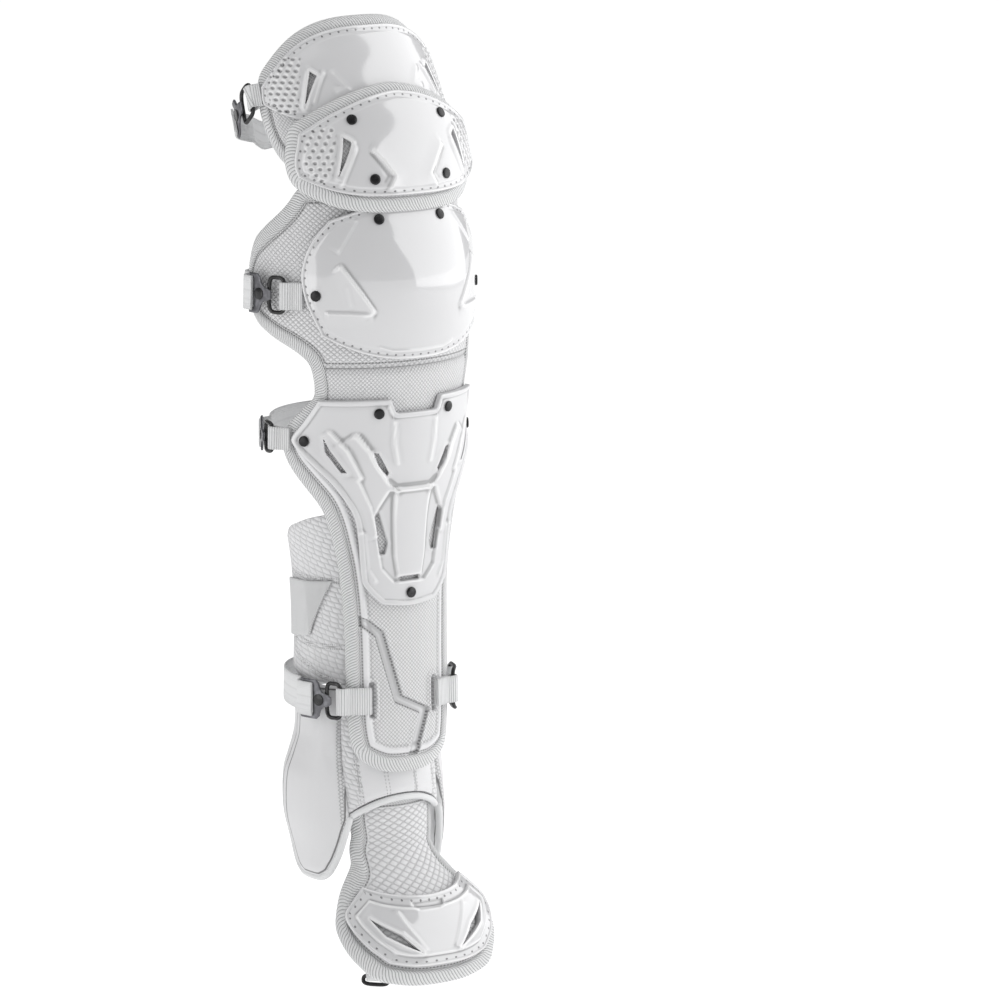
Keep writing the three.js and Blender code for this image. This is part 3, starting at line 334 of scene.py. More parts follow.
def even_loop(loop, step, blur=0.0):
    """A closed loop with its points evenly spaced, and its corners rounded by averaging over a length."""
    closed = np.vstack([loop, loop[:1]])
    along = run_along(closed)
    count = max(int(along[-1] / step), 8)
    at = np.linspace(0, along[-1], count, endpoint=False)
    even = np.stack([np.interp(at, along, closed[:, k]) for k in range(closed.shape[1])], -1)
    for _ in range(int((blur / step) ** 2)):
        even = (np.roll(even, 1, 0) + 2 * even + np.roll(even, -1, 0)) / 4
    return even


def outline_of(form, area, step=1.5, blur=0.0):
    """The edge of an area laid out flat, counter-clockwise."""
    run = np.linspace(0, 1, 150, endpoint=False)
    full, none = np.ones_like(run), np.zeros_like(run)
    s = np.concatenate([2 * run - 1, full, 1 - 2 * run, -full])
    t = np.concatenate([none, run, full, 1 - run])
    return even_loop(form.flat(*area(s, t)), step, blur)


# Meshes: each piece starts as a primitive grid
def name_piece(piece, name):
    piece.name = piece.data.name = name
    return piece


def new_grid(name, columns, rows):
    """A primitive grid from -1 to 1 both ways, made the active object."""
    bpy.ops.object.select_all(action="DESELECT")
    bpy.ops.mesh.primitive_grid_add(x_subdivisions=columns, y_subdivisions=rows, size=2)
    return name_piece(bpy.context.active_object, name)


def corners_of(piece):
    points = np.empty(3 * len(piece.data.vertices))
    piece.data.vertices.foreach_get("co", points)
    return points.reshape(-1, 3)


def move_corners(piece, points):
    piece.data.vertices.foreach_set("co", np.asarray(points, float).ravel())
    piece.data.update()


def edit(piece, *steps):
    """Runs edit-mode steps on the whole of a piece."""
    bpy.context.view_layer.objects.active = piece
    bpy.ops.object.mode_set(mode="EDIT")
    bpy.ops.mesh.select_all(action="SELECT")
    for step in steps:
        step()
    bpy.ops.object.mode_set(mode="OBJECT")


def merge_doubles():
    bpy.ops.mesh.remove_doubles(threshold=1e-6)


def face_outwards():
    bpy.ops.mesh.normals_make_consistent(inside=False)


def raise_slab():
    """Gives a flat sheet a second layer, at a height of 1."""
    bpy.ops.mesh.extrude_region_move(TRANSFORM_OT_translate={"value": (0, 0, 1)})


def apply_modifier(piece, modifier):
    bpy.context.view_layer.objects.active = piece
    bpy.ops.object.modifier_apply(modifier=modifier.name)


def vertex_of_each_loop(piece):
    index = np.empty(len(piece.data.loops), int)
    piece.data.loops.foreach_get("vertex_index", index)
    return index


def write_uv(piece, name, first, second, looped=False):
    """A UV map from each vertex's places in millimetres. On a loop, a face over its seam is kept whole."""
    layer = piece.data.uv_layers.new(name=name)
    index = vertex_of_each_loop(piece)
    placed = np.stack([first, second], -1)[index] / 1000
    if looped:
        starts = np.empty(len(piece.data.polygons), int)
        piece.data.polygons.foreach_get("loop_start", starts)
        start = np.repeat(placed[starts, 0], np.diff(np.append(starts, len(index))))
        whole = np.ptp(placed[:, 0])
        placed[:, 0] -= np.round((placed[:, 0] - start) / max(whole, 1e-9)) * whole
    layer.data.foreach_set("uv", placed.ravel())


def delete_faces(piece, doomed):
    bpy.context.view_layer.objects.active = piece
    bpy.ops.object.mode_set(mode="EDIT")
    bpy.ops.mesh.select_mode(type="FACE")
    bpy.ops.object.mode_set(mode="OBJECT")
    piece.data.polygons.foreach_set("select", np.asarray(doomed, bool))
    bpy.ops.object.mode_set(mode="EDIT")
    bpy.ops.mesh.delete(type="FACE")
    bpy.ops.mesh.select_mode(type="VERT")
    bpy.ops.object.mode_set(mode="OBJECT")


def cut_flat(piece, corners, keep_inside):
    """Cuts a flat grid along a polygon: vertices beside the line are moved onto it."""
    points = corners_of(piece)
    faces = vertex_of_each_loop(piece).reshape(-1, 4)
    middle = points[faces].mean(1)[:, :2]
    gone = inside(corners, middle) != keep_inside
    touched = np.zeros(len(points), int)
    np.bitwise_or.at(touched, faces[gone].ravel(), 1)
    np.bitwise_or.at(touched, faces[~gone].ravel(), 2)
    rim = np.flatnonzero(touched == 3)
    if not len(rim):
        raise RuntimeError("A cut misses its piece: " + piece.name)
    start, step = corners, np.roll(corners, -1, 0) - corners
    reach = points[rim, None, :2] - start[None]
    share = np.clip((reach * step).sum(-1) / (step ** 2).sum(-1), 0, 1)
    place = start[None] + share[..., None] * step
    best = np.linalg.norm(points[rim, None, :2] - place, axis=-1).argmin(1)
    points[rim, :2] = place[np.arange(len(rim)), best]
    for corner in corners:
        points[rim[np.linalg.norm(points[rim, :2] - corner, axis=1).argmin()], :2] = corner
    move_corners(piece, points)
    delete_faces(piece, gone)


def crowd(x):
    """Moves places from 0 to 1 towards both ends, where the edges need finer faces."""
    return x - CROWDING * np.sin(2 * np.pi * x) / (2 * np.pi)


def hollows(piece, height):
    """How far each vertex lies below those around it: more than 0 in grooves and less on ridges."""
    first, second = np.array([edge.vertices[:] for edge in piece.data.edges]).T
    count = np.bincount(first, minlength=len(height)) + np.bincount(second, minlength=len(height))
    around = height
    for _ in range(4):
        total = np.bincount(first, around[second], len(height))
        total += np.bincount(second, around[first], len(height))
        around = total / np.maximum(count, 1)
    return around - height


def make_patch(name, form, area, cell, inner, outer, windows=(), relief=None, lift=None, seams=()):
    """A curved wall between two offsets from a form, with windows cut through and relief on its outside."""
    row = area(np.linspace(-1, 1, 60), np.full(60, 0.5))
    across = np.abs(np.diff(row[0] * form.girth(row[1]))).sum()
    rise = np.ptp(area(np.zeros(2), np.array([0.0, 1.0]))[1])
    piece = new_grid(name, max(int(across / cell), 6), max(int(rise / cell), 4))
    points = corners_of(piece)
    s = 2 * crowd((points[:, 0] + 1) / 2) - 1
    t = crowd((points[:, 1] + 1) / 2)
    move_corners(piece, np.column_stack([form.flat(*area(s, t)), 0 * s]))
    for window in windows:
        cut_flat(piece, lay(form, window), keep_inside=False)
    edit(piece, raise_slab)
    wrap_flat(piece, form, outline_of(form, area), inner, outer, relief, lift, seams)
    return piece


def wrap_flat(piece, form, edge, inner, outer, relief=None, lift=None, seams=()):
    """Wraps a flat slab onto a form: layer 0 goes to the inner offset and layer 1 to the outer one."""
    points = corners_of(piece)
    flat, layer = points[:, :2].copy(), points[:, 2]
    near, along, _ = distance_to(edge, flat)
    raise_by = relief(flat, near) if relief else 0 * near
    both = lift(flat) if lift else 0
    offset = both + inner + (outer + raise_by - inner) * layer
    level = flat[:, 1]
    angle = flat[:, 0] / form.girth(level)
    move_corners(piece, to_metres(form.wrap(angle, level, offset)))
    write_uv(piece, "flat", form.arc(angle, level), level)
    write_uv(piece, "edge", along, near, looped=True)
    # The hollows are the mask for painted shade in grooves and a painted highlight on ridges.
    write_uv(piece, "relief", hollows(piece, raise_by * layer), raise_by)
    if seams:
        write_seams(piece, form, flat, seams)
    edit(piece, face_outwards)


def write_seams(piece, form, flat, seams):
    """A map of the nearest seam: how far along it and how far from it each vertex lies."""
    best = np.full(len(flat), 1e6)
    run = np.zeros(len(flat))
    for seam in seams:
        near, along, _ = distance_to(lay(form, seam), flat, closed=False)
        run = np.where(near < best, along, run)
        best = np.minimum(near, best)
    write_uv(piece, "seam", run, best)


def sweep(name, columns, rows, place, size):
    """A surface swept along a path: place gives its points from along and around, both from 0 to 1."""
    piece = new_grid(name, columns, rows)
    points = corners_of(piece)
    u, v = (points[:, 0] + 1) / 2, (points[:, 1] + 1) / 2
    move_corners(piece, to_metres(place(u, v)))
    write_uv(piece, "flat", u * size[0], v * size[1])
    edit(piece, merge_doubles, face_outwards)
    return piece


def along_path(path, u, closed):
    """Places on a path of evenly used points and the path's direction there, for u from 0 to 1."""
    count = len(path)
    if closed:
        at = u * count
        low = np.floor(at).astype(int)
        pick = lambda i: path[i % count]
    else:
        at = u * (count - 1)
        low = np.minimum(np.floor(at).astype(int), count - 2)
        pick = lambda i: path[np.clip(i, 0, count - 1)]
    share = (at - low)[:, None]
    place = pick(low) * (1 - share) + pick(low + 1) * share
    heading = (pick(low + 1) - pick(low - 1)) * (1 - share) + (pick(low + 2) - pick(low)) * share
    return place, unit(heading)


def length_of(path, closed):
    return run_along(np.vstack([path, path[:1]]) if closed else path)[-1]


def make_tube(name, path, radius, closed=True, step=0.8, around=12):
    """A round bar along a path in space. Its open ends are rounded."""
    length = length_of(path, closed)
    centre = path.mean(0)

    def place(u, v):
        at, heading = along_path(path, u, closed)
        out = at - centre if closed else at * np.array([1, 1, 0])
        side = unit(np.cross(heading, out))
        up = np.cross(side, heading)
        end = np.minimum(u, 1 - u) * length / radius
        size = radius * (1 if closed else np.sqrt(np.clip(1 - (1 - np.minimum(end, 1)) ** 2, 0, 1))[:, None])
        turn = (2 * np.pi * v)[:, None]
        return at + size * (np.cos(turn) * side + np.sin(turn) * up)
    return sweep(name, max(int(length / step), 12), around, place, (length, 2 * np.pi * radius))


def make_band(name, path, across, width, thickness, step=1.0):
    """A flat band along a path in space, with rounded edges and closed ends."""
    length = length_of(path, False)

    def place(u, v):
        inner = np.clip((u * (length + 2) - 1) / length, 0, 1)
        at, heading = along_path(path, inner, False)
        side, _ = along_path(across, inner, False)
        side = unit(side - heading * (side * heading).sum(1)[:, None])
        up = np.cross(heading, side)
        wide, high = boxy(np.cos(2 * np.pi * v), 0.3), boxy(np.sin(2 * np.pi * v), 0.3)
        end = smooth(np.minimum(u, 1 - u) * (length + 2))[:, None]
        return at + end * (side * (wide * width / 2)[:, None] + up * (high * thickness / 2)[:, None])
    return sweep(name, max(int(length / step), 6), 40, place, (length, 2 * width))


def make_binding(name, form, loop, inner, outer, sizes):
    """A ribbed band that rolls over a padded edge, following its loop in the flat."""
    loop = even_loop(loop, 1.4, blur=4.0)
    flat = np.hstack([loop, 0 * loop[:, :1]])
    length = length_of(flat, True)
    middle, half = (inner + outer) / 2, (outer - inner) / 2 + 0.5

    def place(u, v):
        at, heading = along_path(flat, u, True)
        turn = 2 * np.pi * v
        wide = np.where(np.cos(turn) > 0, np.cos(turn), 0.35 * np.cos(turn))
        reach = boxy(wide, 0.75) * (sizes.binding - 1) + 0.6
        high = boxy(np.sin(turn), 0.7) * half
        x = at[:, 0] + heading[:, 1] * reach
        level = at[:, 1] - heading[:, 0] * reach
        return form.wrap(x / form.girth(level), level, middle + high)
    return sweep(name, int(length / 1.4), 28, place, (length, 2 * sizes.binding + 2 * half))


def finish_piece(piece, slot, material, *nodes, angle=50, padded=None):
    """Shading, finish and place in the frame of a made piece."""
    bpy.ops.object.select_all(action="DESELECT")
    piece.select_set(True)
    bpy.context.view_layer.objects.active = piece
    bpy.ops.object.shade_smooth_by_angle(angle=math.radians(angle))
    piece.data.materials.clear()
    piece.data.materials.append(material)
    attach(piece, "root")
    if nodes:
        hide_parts(*nodes)
    piece.select_set(False)


class Field:
    """A value on a shader socket. Arithmetic on it adds Math nodes."""

    def __init__(self, paint, socket):
        self.paint, self.socket = paint, socket

    def __add__(self, other):
        return self.paint.math("ADD", self, other)

    def __sub__(self, other):
        return self.paint.math("SUBTRACT", self, other)

    def __rsub__(self, other):
        return self.paint.math("SUBTRACT", other, self)

    def __mul__(self, other):
        return self.paint.math("MULTIPLY", self, other)

    def __truediv__(self, other):
        return self.paint.math("DIVIDE", self, other)

    def __pow__(self, other):
        return self.paint.math("POWER", self, other)

    def __abs__(self):
        return self.paint.math("ABSOLUTE", self)

    __radd__ = __add__
    __rmul__ = __mul__


class Paint:
    """One finish and its nodes."""

    def __init__(self, name):
        self.material = bpy.data.materials.new(name)
        self.material.use_nodes = True
        self.tree = self.material.node_tree
        self.shader = next(n for n in self.tree.nodes if n.type == "BSDF_PRINCIPLED")

    def node(self, kind, settings=None, inputs=None, output=0):
        """Any node: its settings first, then a value or a link for each of its sockets."""
        made = self.tree.nodes.new(kind)
        for key, value in (settings or {}).items():
            setattr(made, key, value)
        for key, value in (inputs or {}).items():
            self.feed(made.inputs[key], value)
        return Field(self, made.outputs[output])

    def feed(self, socket, value):
        if isinstance(value, Field):
            self.tree.links.new(value.socket, socket)
        elif hasattr(socket.default_value, "__len__") and len(value) == 3 and len(socket.default_value) == 4:
            socket.default_value = (*value, 1.0)
        else:
            socket.default_value = value

    def math(self, operation, *values):
        return self.node("ShaderNodeMath", {"operation": operation}, dict(enumerate(values)))

    def flat(self, layer="flat"):
        """A UV map's two places, in millimetres."""
        place = self.node("ShaderNodeUVMap", {"uv_map": layer})
        split = self.node("ShaderNodeSeparateXYZ", inputs={0: place})
        second = Field(self, split.socket.node.outputs[1])
        return split * 1000, second * 1000

    def noise(self, scale, detail=2.0):
        """Noise on the object's own coordinates."""
        spot = self.node("ShaderNodeTexCoord", output=3)
        return self.node("ShaderNodeTexNoise", inputs={"Vector": spot, "Scale": scale, "Detail": detail})

    def ramp(self, value, low, high, start=0.0, end=1.0):
        """A value eased from start to end as it goes from low to high."""
        return self.node("ShaderNodeMapRange", {"interpolation_type": "SMOOTHSTEP"},
                         {0: value, 1: low, 2: high, 3: start, 4: end})

    def wave(self, value, pitch):
        """Rounded ribs from 0 to 1, one for each pitch."""
        return abs(self.math("SINE", value * (math.pi / pitch)))

    def line(self, distance, outer=0.9, inner=0.3):
        """A thin line: 1 where a distance is nothing, and 0 from the outer distance on."""
        return self.ramp(abs(distance), outer, inner)

    def capped(self, value):
        return self.math("MINIMUM", value, 1.0)

    def mix(self, factor, first, second):
        return self.node("ShaderNodeMix", {"data_type": "RGBA"}, {0: factor, 6: first, 7: second}, output=2)

    def layers(self, tone, *marks):
        """A colour with others laid over it, from pairs of a mask and a colour."""
        for mask, colour in marks:
            tone = self.mix(mask, tone, colour)
        return tone

    def stitches(self, along, across, pitch, place, length, width):
        """Short marks in a row: 1 on a stitch and 0 beside it."""
        step = abs(self.math("FRACT", along / pitch) - 0.5) * pitch
        reach = self.math("SQRT", (step / length) ** 2 + (abs(across - place) / width) ** 2)
        return self.ramp(reach, 1.15, 0.6)

    def set(self, **values):
        for key, value in values.items():
            self.feed(self.shader.inputs[key.replace("_", " ")], value)

    def bump(self, height):
        """Relief given in millimetres."""
        self.set(Normal=self.node("ShaderNodeBump", inputs={"Height": height, "Strength": 1.0,
                                                            "Distance": 0.001}))


def shade(colour, factor):
    return tuple(channel * factor for channel in colour)


def plate_finish(name, colour, roughness, stitch=2.9, pitch=6.2):
    """Moulded plastic, with the holes of its stitched rim, painted shade in its hollows and a painted highlight
    on its ridges.
    """
    paint = Paint(name)
    along, edge = paint.flat("edge")
    holes = paint.stitches(along, edge, pitch, stitch, 0.85, 0.7) if pitch else None
    cloud = paint.noise(14.0, 3.0)
    grain = paint.noise(900.0, 2.0)
    hollow, _ = paint.flat("relief")
    # Painted shade darkens the plate where its relief is hollow, and a painted highlight lightens its ridges.
    tone = paint.layers(shade(colour, 0.97), (cloud, colour),
                        (paint.ramp(hollow, 0.02, 0.40) * 0.65, shade(colour, 0.30)),
                        (paint.ramp(hollow, -0.03, -0.40) * 0.5, (0.95, 0.95, 0.95)))
    if holes:
        tone = paint.mix(holes * 0.8, tone, (0.10, 0.10, 0.105))
    paint.set(Base_Color=tone, Roughness=paint.ramp(cloud, 0.3, 0.7, roughness * 0.8, roughness * 1.25),
              Coat_Weight=0.5 if roughness < 0.2 else 0.1, Coat_Roughness=0.05, IOR=1.8)
    height = grain * (0.002 if roughness < 0.2 else 0.02)
    if holes:
        height = height - holes * 0.5
    paint.bump(height)
    return paint.material


def mesh_finish(name, colour, width, rise, depth=0.35, groove_shade=0.55, border=None, channel=None):
    """Air mesh in a diamond weave. The border is the place of its stitched line and the end of a plain band
    beside it, up to a level. A channel has a stitched line at one distance on each side, with a plain strip
    between them."""
    paint = Paint(name)
    across, up = paint.flat()
    cells = paint.wave(across / width + up / rise, 1.0) * paint.wave(across / width - up / rise, 1.0)
    thread = paint.noise(1500.0, 2.0)
    cloud = paint.noise(25.0, 3.0)
    hollow, _ = paint.flat("relief")
    plain, line, mark = 0.0, 0.0, 0.0
    if border:
        place, end, top = border
        run, edge = paint.flat("edge")
        below = paint.ramp(up, top, top - 6.0)
        plain = paint.ramp(edge, end + 0.8, end - 1.4) * below * 0.8
        mark = paint.stitches(run, edge, 2.3, place, 0.75, 0.5) * below
        line = paint.line(edge - place) * below
    if channel:
        run, near = paint.flat("seam")
        plain = plain + paint.ramp(near, channel + 0.2, channel - 0.4)
        mark = mark + paint.stitches(run, near, 2.3, channel, 0.75, 0.5)
        line = line + paint.line(near - channel)
    plain = paint.capped(plain)
    weave = cells * (1.0 - plain) + plain * 0.75
    # Painted shade: the colour is darkened in the grooves between the weave's cells.
    tone = paint.layers(shade(colour, groove_shade), (paint.ramp(weave, 0.0, 0.5), colour),
                        (cloud * 0.4, shade(colour, 0.95)),
                        (thread * 0.25, shade(colour, 0.8)),
                        # Painted shade darkens the mesh where its relief is hollow.
                        (paint.ramp(hollow, 0.02, 0.40) * 0.35, shade(colour, 0.4)),
                        (paint.capped(line) * 0.45, shade(colour, 0.3)),
                        (paint.capped(mark) * 0.7, shade(colour, 0.12)))
    paint.set(Base_Color=tone, Roughness=paint.ramp(weave, 0.0, 1.0, 0.95, 0.8), Sheen_Weight=0.2,
              Specular_IOR_Level=0.2)
    paint.bump(weave ** 0.6 * depth + thread * 0.12 - line * 0.5)
    return paint.material


def ripple_finish(name, colour, start=0.0):
    """The stretch mesh of the wrap: rows of long low bumps, with stitched seams. The sleeve is plain up to
    where its gathers start on each side."""
    paint = Paint(name)
    across, up = paint.flat()
    lean = up + across * 0.16
    row = paint.math("FLOOR", lean / 3.6)
    shifted = across + paint.math("SINE", row * 2.4) * 2.6 + lean * 0.5
    bump = paint.wave(shifted, 8.5) * paint.wave(lean, 3.6)
    thread = paint.noise(1400.0, 2.0)
    knit = paint.wave(across + up, 1.3) * paint.wave(across - up, 1.3)
    if start:
        gathered = paint.ramp(abs(across), start - 0.5, start + 0.5)
        bump = bump * gathered + (1.0 - gathered) * 0.7
    run, near = paint.flat("seam")
    mark = paint.stitches(run, near, 2.4, 1.5, 0.8, 0.45)
    line = paint.ramp(near, 0.7, 0.2)
    # Painted shade: the colour darkens in the gaps between the bumps.
    tone = paint.layers(shade(colour, 0.78), (paint.ramp(bump, 0.0, 0.3), colour),
                        (knit * 0.12, shade(colour, 0.8)), (thread * 0.3, shade(colour, 0.84)),
                        (line * 0.55, shade(colour, 0.35)), (mark * 0.5, shade(colour, 0.4)))
    paint.set(Base_Color=tone, Roughness=paint.ramp(bump, 0.0, 1.0, 0.95, 0.85), Sheen_Weight=0.2,
              Specular_IOR_Level=0.2)
    paint.bump(bump ** 0.7 * 0.8 + thread * 0.12 + knit * 0.1 - line * 0.5 - mark * 0.3)
    return paint.material


def binding_finish(name, colour):
    """Ribbed edge tape with its seam."""
    paint = Paint(name)
    along, around = paint.flat()
    ribs = paint.wave(along + around * 0.8, 2.0)
    thread = paint.noise(1800.0, 2.0)
    seam = paint.stitches(along, around, 2.0, 11.6, 0.75, 0.55)
    # Painted shade darkens the grooves between the ribs.
    tone = paint.layers(shade(colour, 0.42), (paint.ramp(ribs, 0.05, 0.6), colour),
                        (thread * 0.3, shade(colour, 0.84)), (seam * 0.7, shade(colour, 0.2)))
    paint.set(Base_Color=tone, Roughness=0.85, Sheen_Weight=0.2, Specular_IOR_Level=0.25)
    paint.bump(ribs * 0.5 + thread * 0.08 - seam * 0.3)
    return paint.material


def webbing_finish(name, colour, pitch=1.6, along_ribs=False):
    """Woven webbing: ribs across the strap, or fine lines along it for elastic."""
    paint = Paint(name)
    along, around = paint.flat()
    ribs = paint.wave(around if along_ribs else along, pitch)
    weave = paint.wave(along if along_ribs else around, 0.9)
    thread = paint.noise(1600.0, 2.0)
    # Painted shade darkens the grooves between the ribs, less on elastic.
    tone = paint.layers(shade(colour, 0.9 if along_ribs else 0.5), (paint.ramp(ribs, 0.0, 0.6), colour),
                        (thread * 0.3, shade(colour, 0.84)))
    paint.set(Base_Color=tone, Roughness=paint.ramp(thread, 0.3, 0.7, 0.75, 0.85), Sheen_Weight=0.15,
              Specular_IOR_Level=0.3)
    paint.bump(ribs * (0.12 if along_ribs else 0.35) + weave * 0.08 + thread * 0.05)
    return paint.material


def smooth_finish(name, colour, sewn=False):
    """Smooth coated fabric with a fine knit. A sewn one has a line beside its edge and a zigzag seam."""
    paint = Paint(name)
    cloud = paint.noise(18.0, 3.0)
    knit = paint.noise(1300.0, 3.0)
    fold = paint.noise(45.0, 2.0)
    tone = paint.layers(shade(colour, 0.95), (cloud, colour), (knit * 0.3, shade(colour, 0.88)))
    height = knit * 0.05 + fold * 0.25
    if sewn:
        _, edge = paint.flat("edge")
        run, near = paint.flat("seam")
        line = paint.line(edge - STITCH_LINE, 0.8, 0.2)
        zigzag = abs(paint.math("FRACT", run / 2.6) - 0.5) * 3.0
        thread = paint.line(near - zigzag - 0.4, 0.7, 0.2)
        tone = paint.layers(tone, (line * 0.9, shade(colour, 0.2)), (thread * 0.6, shade(colour, 0.4)))
        height = height - line * 0.6 - thread * 0.25
    paint.set(Base_Color=tone, Roughness=paint.ramp(cloud, 0.3, 0.7, 0.5, 0.62), Sheen_Weight=0.2,
              Specular_IOR_Level=0.35)
    paint.bump(height)
    return paint.material


def metal_finish(name, colour, metallic, roughness):
    """Plated or painted steel, brighter where it is rubbed."""
    paint = Paint(name)
    cloud = paint.noise(160.0, 3.0)
    brushed = paint.noise(2500.0, 2.0)
    tone = paint.mix(paint.ramp(cloud, 0.45, 0.75), colour, tuple(min(1.0, c * 1.7 + 0.03) for c in colour))
    paint.set(Base_Color=tone, Metallic=metallic,
              Roughness=paint.ramp(brushed, 0.2, 0.8, roughness * 0.8, roughness * 1.3))
    paint.bump(brushed * 0.01 + cloud * 0.02)
    return paint.material


# Outlines of the pieces, in shares of the height and degrees, as in the solids
THIGH_LOW = 0.830 + (2 * 9 + 0.4) / HEIGHT
THIGH_AREA = patch(spread([(0.857, 54), (0.875, 66), (0.905, 70), (0.935, 68), (0.990, 64)]),
                   bow(THIGH_LOW, THIGH_LOW, 2), bow(0.991, 0.936, 2.7))
THIGH_PLATE_AREA = patch(spread([(0.896, 54), (0.903, 63), (0.915, 69), (0.930, 69), (0.990, 69)]),
                         bow(0.896, 0.914, 6), bow(0.990, 0.931, 2.7))
THIGH_WINDOW = [(-39.5, 0.947), (-36, 0.943), (-45.5, 0.912)]
UPPER_HALF = spread([(0.822, 47), (0.835, 50), (0.850, 54), (0.862, 54.5), (0.876, 52.5), (0.890, 50)])
UPPER_PAD_AREA = patch(UPPER_HALF, bow(0.822, 0.845, 4), bow(0.920, 0.884, 1.6))
UPPER_CAP_AREA = patch(UPPER_HALF, bow(0.827, 0.846, 4), bow(0.9215, 0.885, 1.6))
UPPER_WINDOW = [(-31, 0.880), (-27.5, 0.876), (-35, 0.846)]
PAD_HALF = spread([
    (0.249, 26), (0.262, 32), (0.285, 35), (0.330, 36.5), (0.380, 37), (0.440, 38.5), (0.4876, 41.7),
    (0.5063, 44.5), (0.5207, 48.5), (0.5397, 57.2), (0.5572, 65.4), (0.572, 70), (0.585, 69), (0.600, 60),
    (0.615, 51), (0.630, 48), (0.656, 48.6), (0.671, 53), (0.684, 63.5), (0.693, 75), (0.706, 89),
    (0.722, 98), (0.745, 100), (0.768, 91), (0.783, 80), (0.7985, 68), (0.812, 60), (0.830, 53)])
SEAM = 0.655
SHIN_PAD_AREA = patch(PAD_HALF, bow(0.249, 0.262, 5), bow(SEAM, SEAM, 2))
KNEE_PAD_AREA = patch(PAD_HALF, bow(SEAM + 0.0006, SEAM + 0.0006, 2), bow(0.830, 0.826, 2))
LEG_PADS_AREA = patch(PAD_HALF, bow(0.249, 0.262, 5), bow(0.830, 0.826, 2))
CAP_AREA = patch(spread([
    (0.664, 44), (0.690, 48), (0.704, 51.5), (0.724, 56.4), (0.745, 58.8), (0.759, 58), (0.775, 54.3),
    (0.791, 48), (0.803, 42), (0.822, 38)]), bow(0.664, 0.690, 2.5), bow(0.822, 0.803, 2))
PLATE_HALF = spread([
    (0.408, 15), (0.412, 20), (0.427, 29), (0.437, 31.8), (0.480, 32), (0.500, 33), (0.516, 36.7),
    (0.5385, 45), (0.5575, 55.5), (0.573, 65), (0.582, 67), (0.600, 60), (0.624, 51)])
PLATE_WINDOWS = [
    [(-49.4, 0.5857), (-48.1, 0.570), (-39.6, 0.5495), (-36.6, 0.5496), (-46, 0.573)],
    [(-23, 0.5697), (-20.5, 0.5686), (-14.7, 0.5483), (-15.7, 0.5453), (-21, 0.558)],
    [(-21.8, 0.5032), (-19.6, 0.506), (-14.6, 0.4736), (-16.5, 0.463), (-19.5, 0.463)],
]
FOOT_WINDOW = [(-7, 0.4345), (-6, 0.4385), (6, 0.4385), (7, 0.4345)]
PLATE_AREA = patch(PLATE_HALF, bow(0.408, 0.411, 2),
                   lambda s: (0.6235 - 0.014 * (1 - smooth((np.abs(s) - 0.2) / 0.1))) * HEIGHT)
FLAP_FOOT, FLAP_TOP, FLAP_FRONT, FLAP_BACK = 0.121, 0.325, 53.0, 118.0
FLAP_RISE_START, FLAP_RISE_SPAN = 58.0, 45.0
FLAP_FRONT_EDGE = spread([(FLAP_FOOT, 80), (0.1276, 71), (0.1315, 69), (0.1425, 63.5), (0.1595, 58),
                          (0.174, 54.5), (0.186, FLAP_FRONT), (FLAP_TOP, FLAP_FRONT)])
FLAP_BACK_EDGE = spread([(FLAP_FOOT, 101), (0.1276, 108), (0.1315, 110), (0.1425, 114), (0.1595, 117),
                         (0.174, FLAP_BACK), (0.186, FLAP_BACK), (FLAP_TOP, FLAP_BACK)])
FLAP_RISE = curve_through(np.array([FLAP_FOOT, 0.150, 0.185, 0.225, 0.246, 0.270, FLAP_TOP]) * HEIGHT,
                          [0, 1, 5, 5.5, 1.5, -2.5, -2.5])
INSTEP_AREA = patch(spread([
    (0.037, 24), (0.045, 32), (0.055, 38), (0.064, 44), (0.0745, 49), (0.089, 53.5), (0.1025, 54),
    (0.118, 48.2), (0.136, 39.4), (0.160, 41.5), (0.1785, 44), (0.205, 44)]),
                    bow(0.037, 0.045, 4), bow(0.203, 0.203, 2))
TOE_AREA = patch(spread([(0.0435, 25), (0.055, 33), (0.065, 40), (0.081, 48.4), (0.0946, 53.5), (0.105, 50),
                         (0.118, 43)]), bow(0.0435, 0.050, 4), bow(0.1095, 0.1185, 2))
TOE_WINDOW = [(-38, 0.0905), (-30, 0.0749), (-11.4, 0.0576), (-21.3, 0.0752)]


def both_sides(windows):
    return list(windows) + [mirror(w) for w in windows]


def rim(near, height=0.7, width=1.5, step=0.4, start=4.6):
    """A moulded plate's edge: a bead, a stitched channel and the step up to the plate's face."""
    bead = height * np.sqrt(np.clip(1 - ((near - width * 0.55) / (width * 0.75)) ** 2, 0, 1))
    fall = 0.5 * np.clip(1 - near / 0.7, 0, 1) ** 2
    return bead - fall + step * smooth((near - start) / 1.2)


def window_lips(form, flat, windows, height, slope):
    """A raised lip round each window."""
    total = np.zeros(len(flat))
    for corners in windows:
        near, _, _ = distance_to(lay(form, corners), flat)
        total += height * hump(near, 1.0, slope)
    return total


def dimples(form, flat, corners, pitch, size, rise=3.8, depth=1.5):
    """A field of pits in offset rows inside a polygon, and one inside its mirror image."""
    row = np.round(flat[:, 1] / rise)
    x = flat[:, 0] - (row % 2) * pitch / 2
    dx, dy = x - np.round(x / pitch) * pitch, flat[:, 1] - row * rise
    pits = 0.35 - depth * smooth(1.25 - np.hypot(dx / size[0], dy / size[1]))
    total = 0
    for field in (lay(form, corners), lay(form, mirror(corners))):
        near, _, _ = distance_to(field, flat)
        total = total + pits * smooth(np.where(inside(field, flat), near, 0) / 2.0)
    return total


def ridges(form, flat, rows):
    """Ridges on both sides of a plate. A row has a ridge's corners, its height and its width to each side."""
    total = 0
    for corners, height, left, right in rows:
        for turn in (list, mirror):
            total = total + crest(flat, lay(form, turn(corners)), height, left, right)
    return total


